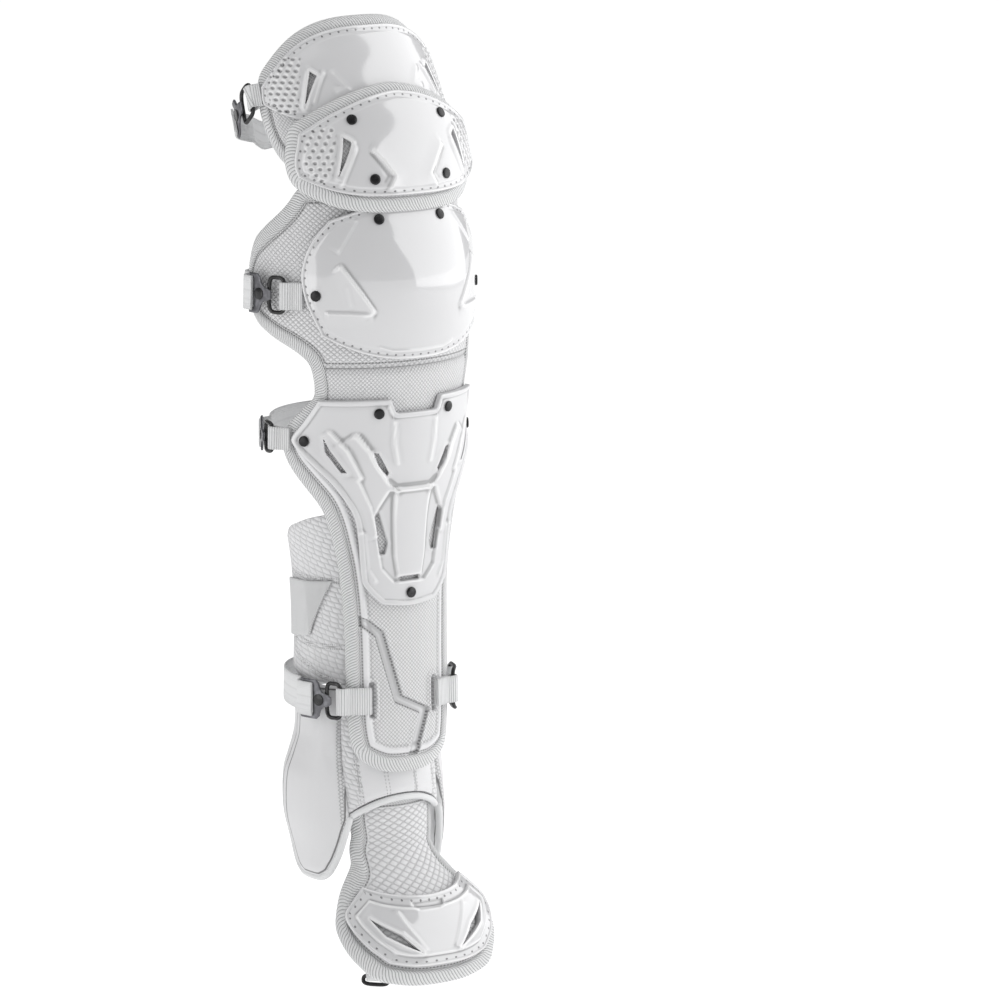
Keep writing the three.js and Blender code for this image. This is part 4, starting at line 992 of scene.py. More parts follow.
def dome(form):
    """How far the main knee cap bulges off the knee padding."""
    def lift(flat):
        angle = flat[:, 0] / form.girth(flat[:, 1])
        up = np.clip((flat[:, 1] / HEIGHT - 0.664) / (0.822 - 0.664), 0, 1)
        return 5 * np.clip(1 - (angle / math.radians(60)) ** 2, 0, None) * np.sin(np.pi * up)
    return lift


def bulge(form):
    """How far an ankle flap stands off towards its back edge."""
    def lift(flat):
        degrees = np.degrees(np.abs(flat[:, 0] / form.girth(flat[:, 1])))
        return FLAP_RISE(flat[:, 1]) * smooth((degrees - FLAP_RISE_START) / FLAP_RISE_SPAN)
    return lift


def pad_edge(near, sink=1.6, reach=4.0):
    """Padding dips towards its sewn edge."""
    return -sink * hump(near, 0, reach)


def frame_at(form, angle, level, offset_at):
    """A place on a form as a matrix in metres: x runs round it, y up it and z out of the surface."""
    def place(turn, rise):
        a, h = np.array([math.radians(angle) + turn]), np.array([level + rise])
        return form.wrap(a, h, offset_at(a, h))[0]
    origin = place(0, 0)
    out = unit(np.cross(place(0.01, 0) - place(-0.01, 0), place(0, 1) - place(0, -1)))
    side = unit(np.cross([0, 0, 1], out))
    matrix = Matrix.Identity(4)
    for k, column in enumerate((side, np.cross(out, side), out)):
        for j in range(3):
            matrix[j][k] = column[j]
    matrix.translation = Vector(to_metres(origin))
    return matrix


def turned_head(name, radius, profile):
    """A round head: a cylinder whose top is inset and then raised or sunk, step by step, in millimetres."""
    bpy.ops.object.select_all(action="DESELECT")
    bpy.ops.mesh.primitive_cylinder_add(vertices=40, radius=radius / 1000, depth=profile[0] / 1000,
                                        location=(0, 0, profile[0] / 2000))
    piece = name_piece(bpy.context.active_object, name)
    bpy.ops.object.transform_apply(location=True, rotation=True, scale=True)
    for face in piece.data.polygons:
        face.select = face.normal.z > 0.9
    bpy.ops.object.mode_set(mode="EDIT")
    bpy.ops.mesh.select_mode(type="FACE")
    for inset, rise in profile[1:]:
        bpy.ops.mesh.inset(thickness=inset / 1000, depth=0)
        bpy.ops.transform.translate(value=(0, 0, rise / 1000))
    bpy.ops.object.mode_set(mode="OBJECT")
    return piece


def add_bevel(piece, width):
    bevel = piece.modifiers.new("Rounded edges", "BEVEL")
    bevel.width = width / 1000
    bevel.segments = 2
    bevel.limit_method = "ANGLE"
    bevel.angle_limit = math.radians(35)
    apply_modifier(piece, bevel)


def copy_to(piece, name, matrix):
    """A copy of a piece with its own mesh, placed by a matrix."""
    twin = piece.copy()
    twin.data = piece.data.copy()
    name_piece(twin, name)
    bpy.context.collection.objects.link(twin)
    twin.data.transform(matrix)
    return twin


def swell(piece):
    """Lets the cloth over a pad swell, keeps the swollen shape up to the cap, and makes its faces finer."""
    edit(piece, merge_doubles)
    remesh = piece.modifiers.new("Even cloth", "REMESH")
    remesh.mode = "VOXEL"
    remesh.voxel_size = SWELL_CELL / 1000
    apply_modifier(piece, remesh)
    before = corners_of(piece)
    cloth = piece.modifiers.new("Cloth", "CLOTH")
    cloth.settings.use_pressure = True
    cloth.settings.uniform_pressure_force = SWELL_PRESSURE
    cloth.settings.effector_weights.gravity = 0
    cloth.settings.quality = 6
    cloth.point_cache.frame_start = 1
    cloth.point_cache.frame_end = SWELL_FRAMES
    scene = bpy.context.scene
    for number in range(1, SWELL_FRAMES + 1):
        scene.frame_set(number)
    apply_modifier(piece, cloth)
    scene.frame_set(1)
    moved = corners_of(piece) - before
    far = np.linalg.norm(moved, axis=1, keepdims=True) * 1000
    move_corners(piece, before + moved * np.minimum(1, SWELL_CAP / np.maximum(far, 1e-9)))
    smoother = piece.modifiers.new("Smooth", "SUBSURF")
    smoother.levels = smoother.render_levels = 1
    apply_modifier(piece, smoother)


def lay_from_points(form, piece, edge, seams):
    """Writes the maps of a piece from where its points lie on a form."""
    points = corners_of(piece) * 1000 + np.array([0, 0, KNEE])
    level = points[:, 2]
    angle = np.arctan2(points[:, 0] / form.side(level),
                       (form.shift(level) - points[:, 1]) / form.front(level))
    flat = form.flat(angle, level)
    near, along, _ = distance_to(edge, flat)
    write_uv(piece, "flat", *flat.T)
    write_uv(piece, "edge", along, near, looped=True)
    write_seams(piece, form, flat, seams)


# Straps, as in the solids: knots are pairs of degrees and value from the front round the left to the back
STRAPS = [
    dict(name="thigh", root=-69.6, sewn=-71, fold=-80, bar=-86, tail=-96, end=-285, width=20,
         levels=[(-60, 0.930), (-75, 0.922), (-88, 0.905), (-105, 0.885), (-140, 0.870), (-220, 0.870),
                 (-255, 0.885), (-272, 0.905), (-285, 0.922), (-300, 0.930)],
         lane=[(-60, 0.8), (-80, 0.8), (-84, 0), (-96, -4), (-108, -12), (-130, -14), (-230, -14),
               (-252, -12), (-266, -4), (-277, 0.8), (-300, 0.8)]),
    dict(name="knee", root=-58.4, sewn=-61, fold=-71, bar=-77, tail=-88, end=-283, width=24,
         levels=[(0, 0.728), (-360, 0.728)],
         lane=[(-50, 0.8), (-107, 0.8), (-114, -4), (-130, -12), (-230, -12), (-246, -4), (-253, 0.8),
               (-300, 0.8)]),
    dict(name="calf_upper", root=-68.4, sewn=-70, fold=-83, bar=-89, tail=-98.5, end=-277, width=20,
         levels=[(0, 0.580), (-360, 0.580)],
         lane=[(-60, 0.8), (-77, 0.8), (-84, -1), (-92, -6), (-101, -12), (-130, -14), (-230, -14),
               (-265, -12), (-274, -7), (-282, 0.8), (-300, 0.8)]),
    dict(name="calf_lower", root=-27.2, sewn=-30, fold=-53, bar=-60, tail=-85, end=-305, width=24,
         far_root=-338.0, far_fold=-315, levels=[(0, 0.312), (-360, 0.312)],
         lane=[(-25, 0.8), (-45.5, 0.8), (-53, -3), (-62, -6), (-76, -8.2), (-284, -8.2), (-300, -6),
               (-309, -3), (-316, 0.8), (-340, 0.8)]),
]
# The gap in a fold, a ring's wire, a hook's plate, the radius of its boss and the play between them, in
# millimetres, and how far the lower strap's end lies back on itself, in degrees
FOLD_GAP, WIRE, HOOK, STUD, TOUCH, FOLD_BACK = 0.6, 3.0, 2.0, 4.2, 0.4, 14.0


def read_knots(knots, angle):
    places, values = np.array(knots, float).T
    return np.interp(-np.asarray(angle, float), -places, values)


class Lane:
    """Where a strap runs: places from degrees and a height over its lane."""

    def __init__(self, form, strap, sizes):
        self.form, self.strap, self.thickness = form, strap, sizes.strap
        level = read_knots(strap["levels"], strap["sewn"]) * HEIGHT
        self.per_mm = math.degrees(1 / float(form.girth(level)))
        self.bar_height = sizes.strap + FOLD_GAP + WIRE / 2
        self.fold_top = self.bar_height + WIRE / 2 + FOLD_GAP
        self.grip = self.per_mm * (sizes.strap + sizes.clear + TOUCH + WIRE / 2)

    def level(self, angle):
        return read_knots(self.strap["levels"], angle) * HEIGHT

    def place(self, angle, height, rise=0.0):
        over = read_knots(self.strap["lane"], angle) + height
        return self.form.wrap(np.radians(angle), self.level(angle) + rise, over)

    def across(self, angle):
        return self.place(angle, 0, 1.0) - self.place(angle, 0, -1.0)

    def fold_back(self, bar, run):
        """The heights of a band on its way back from a ring's bar: after a run it lies on itself."""
        flat, lift = 1.5 * self.thickness + 0.1, self.fold_top - self.thickness - 0.1
        return lambda angle: flat + lift * smooth(1 - np.abs(angle - bar) / self.per_mm / run)


def soften(path, times):
    path = path.copy()
    for _ in range(times):
        path[1:-1] = (path[:-2] + 2 * path[1:-1] + path[2:]) / 4
    return path


def even_path(points, others, step):
    """An open path and what goes with each of its points, evenly spaced."""
    along = run_along(points)
    at = np.linspace(0, along[-1], max(int(along[-1] / step), 4))
    pick = lambda values: np.stack([np.interp(at, along, values[:, k]) for k in range(3)], -1)
    return pick(points), pick(others)


def fold_round(lane, start, bar, finish, low, high):
    """Angles and heights of a band from its start to a ring's bar, round the bar, and back to its finish."""
    sign = math.copysign(1, bar - start)
    radius = lane.fold_top / 2
    turn = np.radians(np.linspace(-90, 90, 13))
    out = np.linspace(start, bar, 60)
    back = np.linspace(bar, finish, 40)
    angle = np.concatenate([out[:-1], bar + sign * lane.per_mm * radius * np.cos(turn), back[1:]])
    height = np.concatenate([low(out[:-1]), lane.bar_height + radius * np.sin(turn), high(back[1:])])
    return angle, height


def make_tab(name, form, strap, sizes, root, fold):
    """Webbing sewn to the pad at its root, folded round its ring and sewn to itself."""
    lane = Lane(form, strap, sizes)
    bar = fold + math.copysign(lane.grip, root - fold)
    low = lambda angle: sizes.strap / 2 + 0 * angle
    angle, height = fold_round(lane, root, bar, root, low, lane.fold_back(bar, 7))
    path, across = even_path(lane.place(angle, height), lane.across(angle), 0.6)
    return make_band(name, soften(path, 2), across, strap["width"] * 0.8, sizes.strap, step=0.8)


def make_strap(name, form, strap, sizes):
    """Elastic from its hook round the back of the leg to where it is sewn or hooked."""
    lane = Lane(form, strap, sizes)
    half = sizes.strap / 2
    rise = lane.fold_top + HOOK + TOUCH
    start = strap["bar"] - lane.per_mm * (WIRE / 2 + 2 * STUD + sizes.clear)
    tail, end = strap["tail"], strap["end"]
    over = lambda angle: rise * smooth((angle - (tail - 10)) / 7.0)
    if "far_root" in strap:
        bar = end + lane.grip
        angle, height = fold_round(lane, start, bar, end + FOLD_BACK, lambda a: half + over(a),
                                   lane.fold_back(bar, 8))
        fine = np.linspace(start, angle[58], 400)
        angle, height = np.concatenate([fine, angle[59:]]), np.concatenate([half + over(fine), height[59:]])
    else:
        angle = np.linspace(start, end, 400)
        height = half + over(angle)
    path, across = even_path(lane.place(angle, height), lane.across(angle), 0.8)
    return make_band(name, soften(path, 12), across, strap["width"], sizes.strap, step=1.1)


def make_ring(name, form, strap, sizes, first, second, tall):
    """A wire ring whose upright bars lie at two angles."""
    lane = Lane(form, strap, sizes)
    turn = np.linspace(0, 2 * np.pi, 72, endpoint=False)
    angle = (first + second) / 2 + (second - first) / 2 * boxy(np.cos(turn), 0.5)
    path = lane.place(angle, lane.bar_height, tall / 2 * boxy(np.sin(turn), 0.5))
    return make_tube(name, even_loop(path, 0.8), WIRE / 2 - 0.05, step=0.8)


def make_hook(name, form, strap, sizes):
    """A flat hook: a nose over the ring's bar, and a plate whose arms show beside the strap."""
    lane = Lane(form, strap, sizes)
    half = (strap["width"] + 4) / 2
    tail = (strap["bar"] - strap["tail"]) / lane.per_mm
    nose, spare = 4.3, 0.4
    side = [(-nose, 2.8), (-1.5, 4.3), (2.0, 5.2), (4.2, 7.5), (5.6, half - 2.2), (8.0, half), (tail, half),
            (tail, half - 3.4), (11.5, half - 4.0)]
    outline = np.array(side + [(x, -y) for x, y in side[::-1]])
    piece = new_grid(name, 36, 50)
    points = corners_of(piece)
    points[:, 0] = (tail - nose) / 2 + points[:, 0] * ((tail + nose) / 2 + spare)
    points[:, 1] *= half + spare
    move_corners(piece, points)
    cut_flat(piece, outline, keep_inside=True)
    edit(piece, raise_slab)
    points = corners_of(piece)
    flat, layer = points[:, :2].copy(), points[:, 2]
    near, _, _ = distance_to(outline, flat)
    curl = -0.5 * np.clip(1 - near / 0.8, 0, 1) ** 2
    dish = 0.5 * smooth((flat[:, 0] - 6) / 6) * smooth((np.abs(flat[:, 1]) - (half - 5)) / 4)
    angle = strap["bar"] - flat[:, 0] * lane.per_mm
    height = lane.fold_top + layer * (HOOK + curl) - (1 - layer) * curl + dish
    move_corners(piece, to_metres(form.wrap(np.radians(angle), lane.level(angle) + flat[:, 1],
                                            read_knots(strap["lane"], angle) + height)))
    write_uv(piece, "flat", *flat.T)
    edit(piece, face_outwards)
    return piece


def hook_boss(name, form, strap, sizes):
    """The round boss on a hook, with its hole."""
    lane = Lane(form, strap, sizes)
    at = strap["bar"] - lane.per_mm * (WIRE / 2 + STUD)
    head = turned_head(name, STUD, [1.9, (0.7, 0.35), (1.3, 0.0), (0.5, -1.7)])
    add_bevel(head, 0.25)
    over = lane.fold_top + HOOK - 0.05
    head.data.transform(frame_at(form, at, float(lane.level(at)),
                                 lambda a, h: read_knots(strap["lane"], np.degrees(a)) + over))
    return head


# Rivets on one side: degrees from the front, level share and the plate that holds each
RIVETS = [("upper_cap_rivet_top", 25, 0.895, "upper"), ("upper_cap_rivet_low", 19, 0.8435, "upper"),
          ("main_cap_rivet_top", 17.5, 0.803, "main"), ("main_cap_rivet_side", 51, 0.730, "main"),
          ("shin_plate_rivet_top", 21, 0.610, "shin"), ("shin_plate_rivet_side", 59.5, 0.580, "shin")]


class GuardOperator:
    """What the leg guard's operators share."""
    bl_options = {"REGISTER", "UNDO"}

    def start(self, context):
        self.sizes = context.scene.leg_guard_sizes
        self.colours = context.scene.leg_guard_colours
        self.leg, self.foot = Form(LEG_ROWS, self.sizes), foot_form(self.sizes)
        s = self.sizes
        self.plate_face = s.clear + s.shell
        self.upper_pad_floor = self.plate_face + s.lap
        self.upper_pad_top = self.upper_pad_floor + s.cap_pad
        self.upper_cap_floor = self.upper_pad_top + s.clear
        self.upper_face = self.upper_cap_floor + s.shell
        self.liner_outer = -s.pad - s.clear
        self.liner_inner = self.liner_outer - s.liner

    def add_pad(self, name, form, area, cell, walls, finish, node, fill=0.6, dip=(1.6, 4.0), **shape):
        """A sewn panel between two offsets from its form. It dips at its edge, or has its own relief."""
        shape.setdefault("relief", lambda flat, near: pad_edge(near, *dip))
        pad = make_patch(name, form, area, cell, *walls, **shape)
        finish_piece(pad, "mesh_white", finish, node, padded=fill)

    def add_binding(self, part, form, area, walls, node):
        """The ribbed edge of a pad."""
        name = part.lower().replace(" ", "_") + "_edge"
        edge = make_binding(name, form, outline_of(form, area), *walls, self.sizes)
        finish_piece(edge, "binding_white", binding_finish(part + " binding", self.colours.binding), node)

    def add_plate(self, name, form, area, cell, floor, finish, node, slot="plate_gloss", **shape):
        """A moulded plate with its inner face at an offset from its form."""
        plate = make_patch(name, form, area, cell, floor, floor + self.sizes.shell, **shape)
        finish_piece(plate, slot, finish, node)


class GUARD_OT_thigh(GuardOperator, bpy.types.Operator):
    """Thigh pad with its binding and moulded plate"""
    bl_idname = "leg_guard.thigh"
    bl_label = "Thigh"

    def execute(self, context):
        self.start(context)
        form, walls = self.leg, (-self.sizes.pad, 0)
        finish = mesh_finish("Thigh mesh", self.colours.mesh, 2.8, 2.8, 0.4, 0.6, PLAIN_BORDER)
        self.add_pad("thigh_padding", form, THIGH_AREA, 1.6, walls, finish, "thigh_pad")
        self.add_binding("Thigh", form, THIGH_AREA, walls, "thigh_binding")
        windows = both_sides([THIGH_WINDOW])
        field = [(-57.5, 0.960), (-42.5, 0.962), (-43.5, 0.950), (-48.5, 0.909), (-56, 0.903),
                 (-64.5, 0.909), (-66.3, 0.928), (-63, 0.944)]
        ridge = [(-31.0, 0.949), (-34, 0.940), (-41.0, 0.9142)]
        facet = [(-28.8, 0.949), (-21.5, 0.931), (-29.2, 0.9249)]

        def relief(flat, near):
            return (rim(near) + window_lips(form, flat, windows, 0.9, 1.5)
                    + dimples(form, flat, field, 5.6, (1.9, 1.2))
                    + ridges(form, flat, [(ridge, 1.0, 1.9, 1.9), (facet, 0.7, 5.0, 5.0)]))
        finish = plate_finish("Thigh plate", self.colours.plate, 0.12)
        self.add_plate("thigh_shell", form, THIGH_PLATE_AREA, 0.85, self.sizes.clear, finish, "thigh_plate",
                       windows=windows, relief=relief)
        return {"FINISHED"}


class GUARD_OT_upper_cap(GuardOperator, bpy.types.Operator):
    """Upper knee cap with its pad and binding"""
    bl_idname = "leg_guard.upper_cap"
    bl_label = "Upper knee cap"

    def execute(self, context):
        self.start(context)
        form, walls = self.leg, (self.upper_pad_floor, self.upper_pad_top)
        finish = mesh_finish("Upper cap mesh", self.colours.mesh, 2.8, 2.8, 0.4, 0.6)
        self.add_pad("upper_cap_padding", form, UPPER_PAD_AREA, 1.6, walls, finish, "knee_cap_upper_pad", 0.5,
                     (0.8, 3.0))
        self.add_binding("Upper cap", form, UPPER_PAD_AREA, walls, "knee_cap_upper_binding")
        windows = both_sides([UPPER_WINDOW])
        field = [(-44.5, 0.888), (-35, 0.8935), (-33.0, 0.887), (-37.4, 0.846), (-42.2, 0.8375),
                 (-48.5, 0.845), (-50.8, 0.862), (-49.5, 0.875)]
        ridge = [(-25.4, 0.8743), (-29.5, 0.858), (-34.8, 0.8355)]
        swoosh = [(-20.4, 0.8709), (-17.1, 0.8668), (-13.9, 0.8598), (-9.2, 0.8455), (-13.2, 0.8305)]
        inner = [(-20.4, 0.8705), (-17.4, 0.861), (-12.6, 0.846), (-15.5, 0.8375)]

        def relief(flat, near):
            return (rim(near) + window_lips(form, flat, windows, 0.9, 1.5)
                    + dimples(form, flat, field, 5.4, (1.5, 1.25))
                    + ridges(form, flat, [(ridge, 1.0, 1.9, 1.9), (swoosh, 1.4, 9.0, 1.8),
                                          (inner, -0.5, 1.6, 3.0)]))
        finish = plate_finish("Upper cap plate", self.colours.plate, 0.12)
        self.add_plate("upper_cap_shell", form, UPPER_CAP_AREA, 0.8, self.upper_cap_floor, finish,
                       "knee_cap_upper", windows=windows, relief=relief)
        return {"FINISHED"}


class GUARD_OT_leg_pads(GuardOperator, bpy.types.Operator):
    """Knee and shin padding with their binding"""
    bl_idname = "leg_guard.leg_pads"
    bl_label = "Knee and shin padding"

    def execute(self, context):
        self.start(context)
        form, walls, border_top = self.leg, (-self.sizes.pad, 0), 0.605 * HEIGHT
        finish = mesh_finish("Knee mesh", self.colours.mesh, 4.4, 3.6, 0.7, 0.68, PLAIN_BORDER)
        self.add_pad("knee_padding", form, KNEE_PAD_AREA, 1.7, walls, finish, "knee_pad")
        channel = [(-36, 0.395), (-30, 0.391), (-21.2, 0.380), (-7.9, 0.3112), (13, 0.2957), (0.5, 0.245)]
        slots, slot_half = [(-26.6, 0.312), (21.6, 0.312)], [0.9, 11.5]

        def relief(flat, near):
            border = 1.0 * hump(near, 6.4, 1.8) - 0.5 * hump(near, 9.6, 1.2)
            total = pad_edge(near, 2.0, 3.0) + border * smooth((border_top - flat[:, 1]) / 6)
            far, _, _ = distance_to(lay(form, channel), flat, closed=False)
            total -= 2.4 * smooth((3.4 - far) / 1.2) - 0.5 * hump(far, 4.6, 1.2)
            for x, y in lay(form, slots):
                past = np.abs(flat - [x, y]) - slot_half
                gap = np.linalg.norm(np.maximum(past, 0), axis=1) + np.minimum(past.max(1), 0)
                total += 1.3 * hump(gap, 2.6, 1.2) - 3.4 * smooth((1.6 - gap) / 1.4)
            return total
        finish = mesh_finish("Shin mesh", self.colours.mesh, 2.9, 2.9, 0.45, 0.55,
                             (STITCH_LINE, 8.2, border_top), 2.9)
        self.add_pad("shin_padding", form, SHIN_PAD_AREA, 1.1, walls, finish, "shin_pad", relief=relief,
                     seams=[channel])
        self.add_binding("Leg", form, LEG_PADS_AREA, walls, "leg_binding")
        return {"FINISHED"}


class GUARD_OT_main_cap(GuardOperator, bpy.types.Operator):
    """Domed plate over the knee"""
    bl_idname = "leg_guard.main_cap"
    bl_label = "Main knee cap"

    def execute(self, context):
        self.start(context)
        form = self.leg
        upper = [(-27.7, 0.8051), (-40.4, 0.7697)]
        long = [(-39.9, 0.7615), (-30.0, 0.7334), (-23.1, 0.7113)]
        low = [(-23.1, 0.7113), (-35.3, 0.7123), (-47.1, 0.7126)]
        inner = [(-36.7, 0.7431), (-34.0, 0.7174)]
        foot = [(-22, 0.6795), (-14.1, 0.6736), (0, 0.6728), (14.1, 0.6736), (22, 0.6795)]

        def relief(flat, near):
            return (rim(near, step=0.3) + crest(flat, lay(form, foot), 0.6, 1.6, 1.6)
                    + ridges(form, flat, [(upper, 0.9, 2.2, 12.0), (long, 1.8, 2.2, 12.0),
                                          (low, 1.0, 9.0, 2.0), (inner, 0.4, 2.2, 2.2)]))
        finish = plate_finish("Main cap plate", self.colours.plate, 0.1)
        self.add_plate("main_cap_shell", form, CAP_AREA, 0.9, self.sizes.clear, finish, "knee_cap_main",
                       relief=relief, lift=dome(form))
        return {"FINISHED"}


class GUARD_OT_shin_plate(GuardOperator, bpy.types.Operator):
    """Vented plate over the shin"""
    bl_idname = "leg_guard.shin_plate"
    bl_label = "Shin plate"

    def execute(self, context):
        self.start(context)
        form = self.leg
        windows = both_sides(PLATE_WINDOWS) + [FOOT_WINDOW]
        wing = [(-47.3, 0.5944), (-36.3, 0.5709), (-29.4, 0.5444), (-30.9, 0.5414), (-24.6, 0.5127),
                (-20.8, 0.4786)]
        side = [(-33.6, 0.5918), (-25.1, 0.5697), (-20.7, 0.5532), (-15.1, 0.537), (-11.6, 0.5320)]
        arms = side + [(11.0, 0.5315)] + mirror(side)[1:]
        column = [(-12.7, 0.6048), (-12.2, 0.5778), (-9.4, 0.5528)]
        half = [(10.8, 0.4333), (18.6, 0.4480), (20.4, 0.4750), (21.5, 0.505), (14.0, 0.5290)]
        well = half + mirror(half)
        half_post = [(8.6, 0.4385), (10.6, 0.4600), (11.4, 0.5330)]
        post = half_post + mirror(half_post)
        bevel = [(-31.8, 0.4900), (-28.0, 0.4850), (-27.6, 0.4479), (-22, 0.432)]

        def relief(flat, near):
            return (rim(near, 0.9, 2.8, 0.0) - 0.3 * hump(near, 4.4, 1.3)
                    + raised(flat, lay(form, well), -1.8, 2.4) + raised(flat, lay(form, post), 2.1, 2.6)
                    + window_lips(form, flat, windows, 0.4, 1.6)
                    + crest(flat, lay(form, arms), 1.9, 2.0, 26.0)
                    + ridges(form, flat, [(wing, 1.4, 1.9, 9.0), (column, 0.7, 2.6, 2.6),
                                          (bevel, 1.1, 1.9, 5.0)]))
        finish = plate_finish("Shin plate", self.colours.plate, 0.36, pitch=0)
        self.add_plate("shin_shell", form, PLATE_AREA, 0.8, self.sizes.clear, finish, "shin_plate",
                       "plate_satin", windows=windows, relief=relief)
        return {"FINISHED"}


class GUARD_OT_wrap(GuardOperator, bpy.types.Operator):
    """Calf wrap, ankle sleeve and what is sewn to them"""
    bl_idname = "leg_guard.wrap"
    bl_label = "Calf wrap and ankle sleeve"

    def execute(self, context):
        self.start(context)
        form, walls, reach = self.leg, (self.liner_inner, self.liner_outer), 158
        around = lambda degrees: (lambda level: np.radians(degrees) + 0 * level)
        area = patch(around(reach), bow(FLAP_TOP + 0.0006, FLAP_TOP + 0.0006, 2), bow(0.505, 0.440, 2))
        seams = [[(-reach, 0.430), (reach, 0.434)], [(-reach, 0.363), (reach, 0.365)],
                 [(-120, 0.356), (-103, 0.3428), (-78, 0.3336), (-60, 0.329)]]
        self.add_pad("calf_mesh", form, area, 2.0, walls, ripple_finish("Calf mesh", self.colours.mesh),
                     "calf_wrap", 0.4, (1.2, 2.0), seams=seams)
        base = self.liner_outer + self.sizes.clear
        tab = make_patch("calf_patch", form, self.tab_area, 1.0, base, base + 1.6,
                         relief=lambda flat, near: -0.5 * np.clip(1 - near, 0, 1) ** 2)
        finish_piece(tab, "webbing_white", webbing_finish("Calf patch", self.colours.strap, 1.2), "calf_tab")
        half = FLAP_FRONT - 1.2
        arch = lambda angle: (0.211 - 0.024 * (angle / math.radians(FLAP_FRONT)) ** 2) * HEIGHT
        over_roll = lambda x: arch(x * math.radians(half)) + ROLL + self.sizes.clear
        area = patch(around(half), over_roll, bow(FLAP_TOP, FLAP_TOP, 2))
        finish = ripple_finish("Ankle mesh", self.colours.mesh, 37.5)
        self.add_pad("ankle_mesh", form, area, 1.4, walls, finish, "ankle_sleeve", 0.4, (1.0, 2.0),
                     seams=[[(side, 0.19), (side, 0.33)] for side in (-37, -13.5, 12.5, 37)])
        angle = np.radians(np.linspace(1 - half, half - 1, 120))
        path = form.wrap(angle, arch(angle), sum(walls) / 2)
        roll = make_tube("ankle_roll", path, ROLL, closed=False, around=16)
        finish_piece(roll, "binding_white", smooth_finish("Ankle roll", self.colours.binding), "ankle_piping")
        return {"FINISHED"}

    @staticmethod
    def tab_area(s, t):
        """The calf patch, between its lower and upper corners."""
        lower, upper = ((-120, 0.365), (-91.6, 0.372)), ((-118, 0.424), (-55.2, 0.4318))
        blend = lambda pair, k: pair[0][k] + (pair[1][k] - pair[0][k]) * (s + 1) / 2
        degrees, share = [blend(lower, k) + (blend(upper, k) - blend(lower, k)) * t for k in (0, 1)]
        return np.radians(degrees), share * HEIGHT


class GUARD_OT_flaps(GuardOperator, bpy.types.Operator):
    """Padded flaps over the ankle bones"""
    bl_idname = "leg_guard.flaps"
    bl_label = "Ankle flaps"

    def execute(self, context):
        self.start(context)
        form = self.leg
        finish = smooth_finish("Ankle flap", shade(self.colours.mesh, 0.9), sewn=True)
        rolled = smooth_finish("Flap edge", self.colours.binding)
        for side, sign in (("outer", -1), ("inner", 1)):
            def area(x, t, sign=sign):
                level = (FLAP_FOOT + (FLAP_TOP - FLAP_FOOT) * t ** 1.4) * HEIGHT
                front = FLAP_FRONT_EDGE(level) - math.radians(2.5) * smooth((level / HEIGHT - 0.17) / 0.02)
                back = FLAP_BACK_EDGE(level)
                return (sign * (front + back) + x * (back - front)) / 2, level
            edge = outline_of(form, area, 1.2, blur=2.0)
            seams = [[(sign * 56, 0.16), (sign * 56, FLAP_TOP)]]
            walls = self.liner_inner + SWELL_ROOM, self.liner_inner + self.sizes.flap - SWELL_ROOM
            flap = make_patch("flap_" + side, form, area, 2.2, *walls, lift=bulge(form), seams=seams,
                              relief=lambda flat, near: pad_edge(near, 2.0, 3.5))
            while flap.data.uv_layers:
                flap.data.uv_layers.remove(flap.data.uv_layers[0])
            swell(flap)
            lay_from_points(form, flap, edge, seams)
            finish_piece(flap, "flap_smooth", finish, "ankle_flap_" + side, padded=0.5)
            roll = make_tube("flap_%s_roll" % side, self.rolled_path(form, area, sign), 2.6, closed=False,
                             around=16, step=1.2)
            finish_piece(roll, "binding_white", rolled)
        return {"FINISHED"}

    def rolled_path(self, form, area, sign):
        """From the top of a flap's back edge down, along its foot and up to the arch over the foot."""
        run = np.linspace(0, 1, 90)
        s = np.concatenate([np.full(90, sign), sign * (1 - 2 * run[1:]), np.full(40, -sign)])
        t = np.concatenate([0.98 * (1 - run), 0 * run[1:], np.linspace(0.01, 0.44, 40)])
        angle, level = area(s, t)
        offset = self.liner_inner + self.sizes.flap / 2 + 0.6 + bulge(form)(form.flat(angle, level))
        ends = np.radians([sign * 51.5, sign * 49.5]), np.array([0.1895, 0.1905]) * HEIGHT
        path = np.vstack([form.wrap(angle, level, offset), form.wrap(*ends, offset[-1] - 1.0)])
        return soften(even_path(path, path, 1.2)[0], 12)


class GUARD_OT_instep(GuardOperator, bpy.types.Operator):
    """Pad over the foot with its binding, and the toe cap"""
    bl_idname = "leg_guard.instep"
    bl_label = "Instep and toe"

    def execute(self, context):
        self.start(context)
        form, walls = self.foot, (-self.sizes.instep, 0)
        finish = mesh_finish("Instep mesh", self.colours.mesh, 8.0, 4.6, 0.8, 0.66,
                             (STITCH_LINE, 5.0, HEIGHT))
        self.add_pad("instep_padding", form, INSTEP_AREA, 1.5, walls, finish, "instep_pad")
        self.add_binding("Instep", form, INSTEP_AREA, walls, "instep_binding")
        windows = both_sides([TOE_WINDOW])
        facet = [(-24, 0.1000), (-17, 0.0820), (-7, 0.0560)]
        cup = [(-12.5, 0.1045), (-11.5, 0.1000), (-8.5, 0.0972), (5.0, 0.0972), (8.0, 0.1000), (9.0, 0.1045)]

        def relief(flat, near):
            return (rim(near, step=1.2, start=6.4) + 0.5 * hump(near, 8.0, 0.9)
                    + window_lips(form, flat, windows, 0.7, 1.5) + raised(flat, lay(form, cup), -1.3, 1.4)
                    + ridges(form, flat, [(facet, 0.8, 2.0, 8.0)]))
        finish = plate_finish("Toe plate", self.colours.plate, 0.1, 3.2, 6.4)
        self.add_plate("toe_shell", form, TOE_AREA, 0.8, self.sizes.clear, finish, "toe_cap",
                       windows=windows, relief=relief)
        return {"FINISHED"}


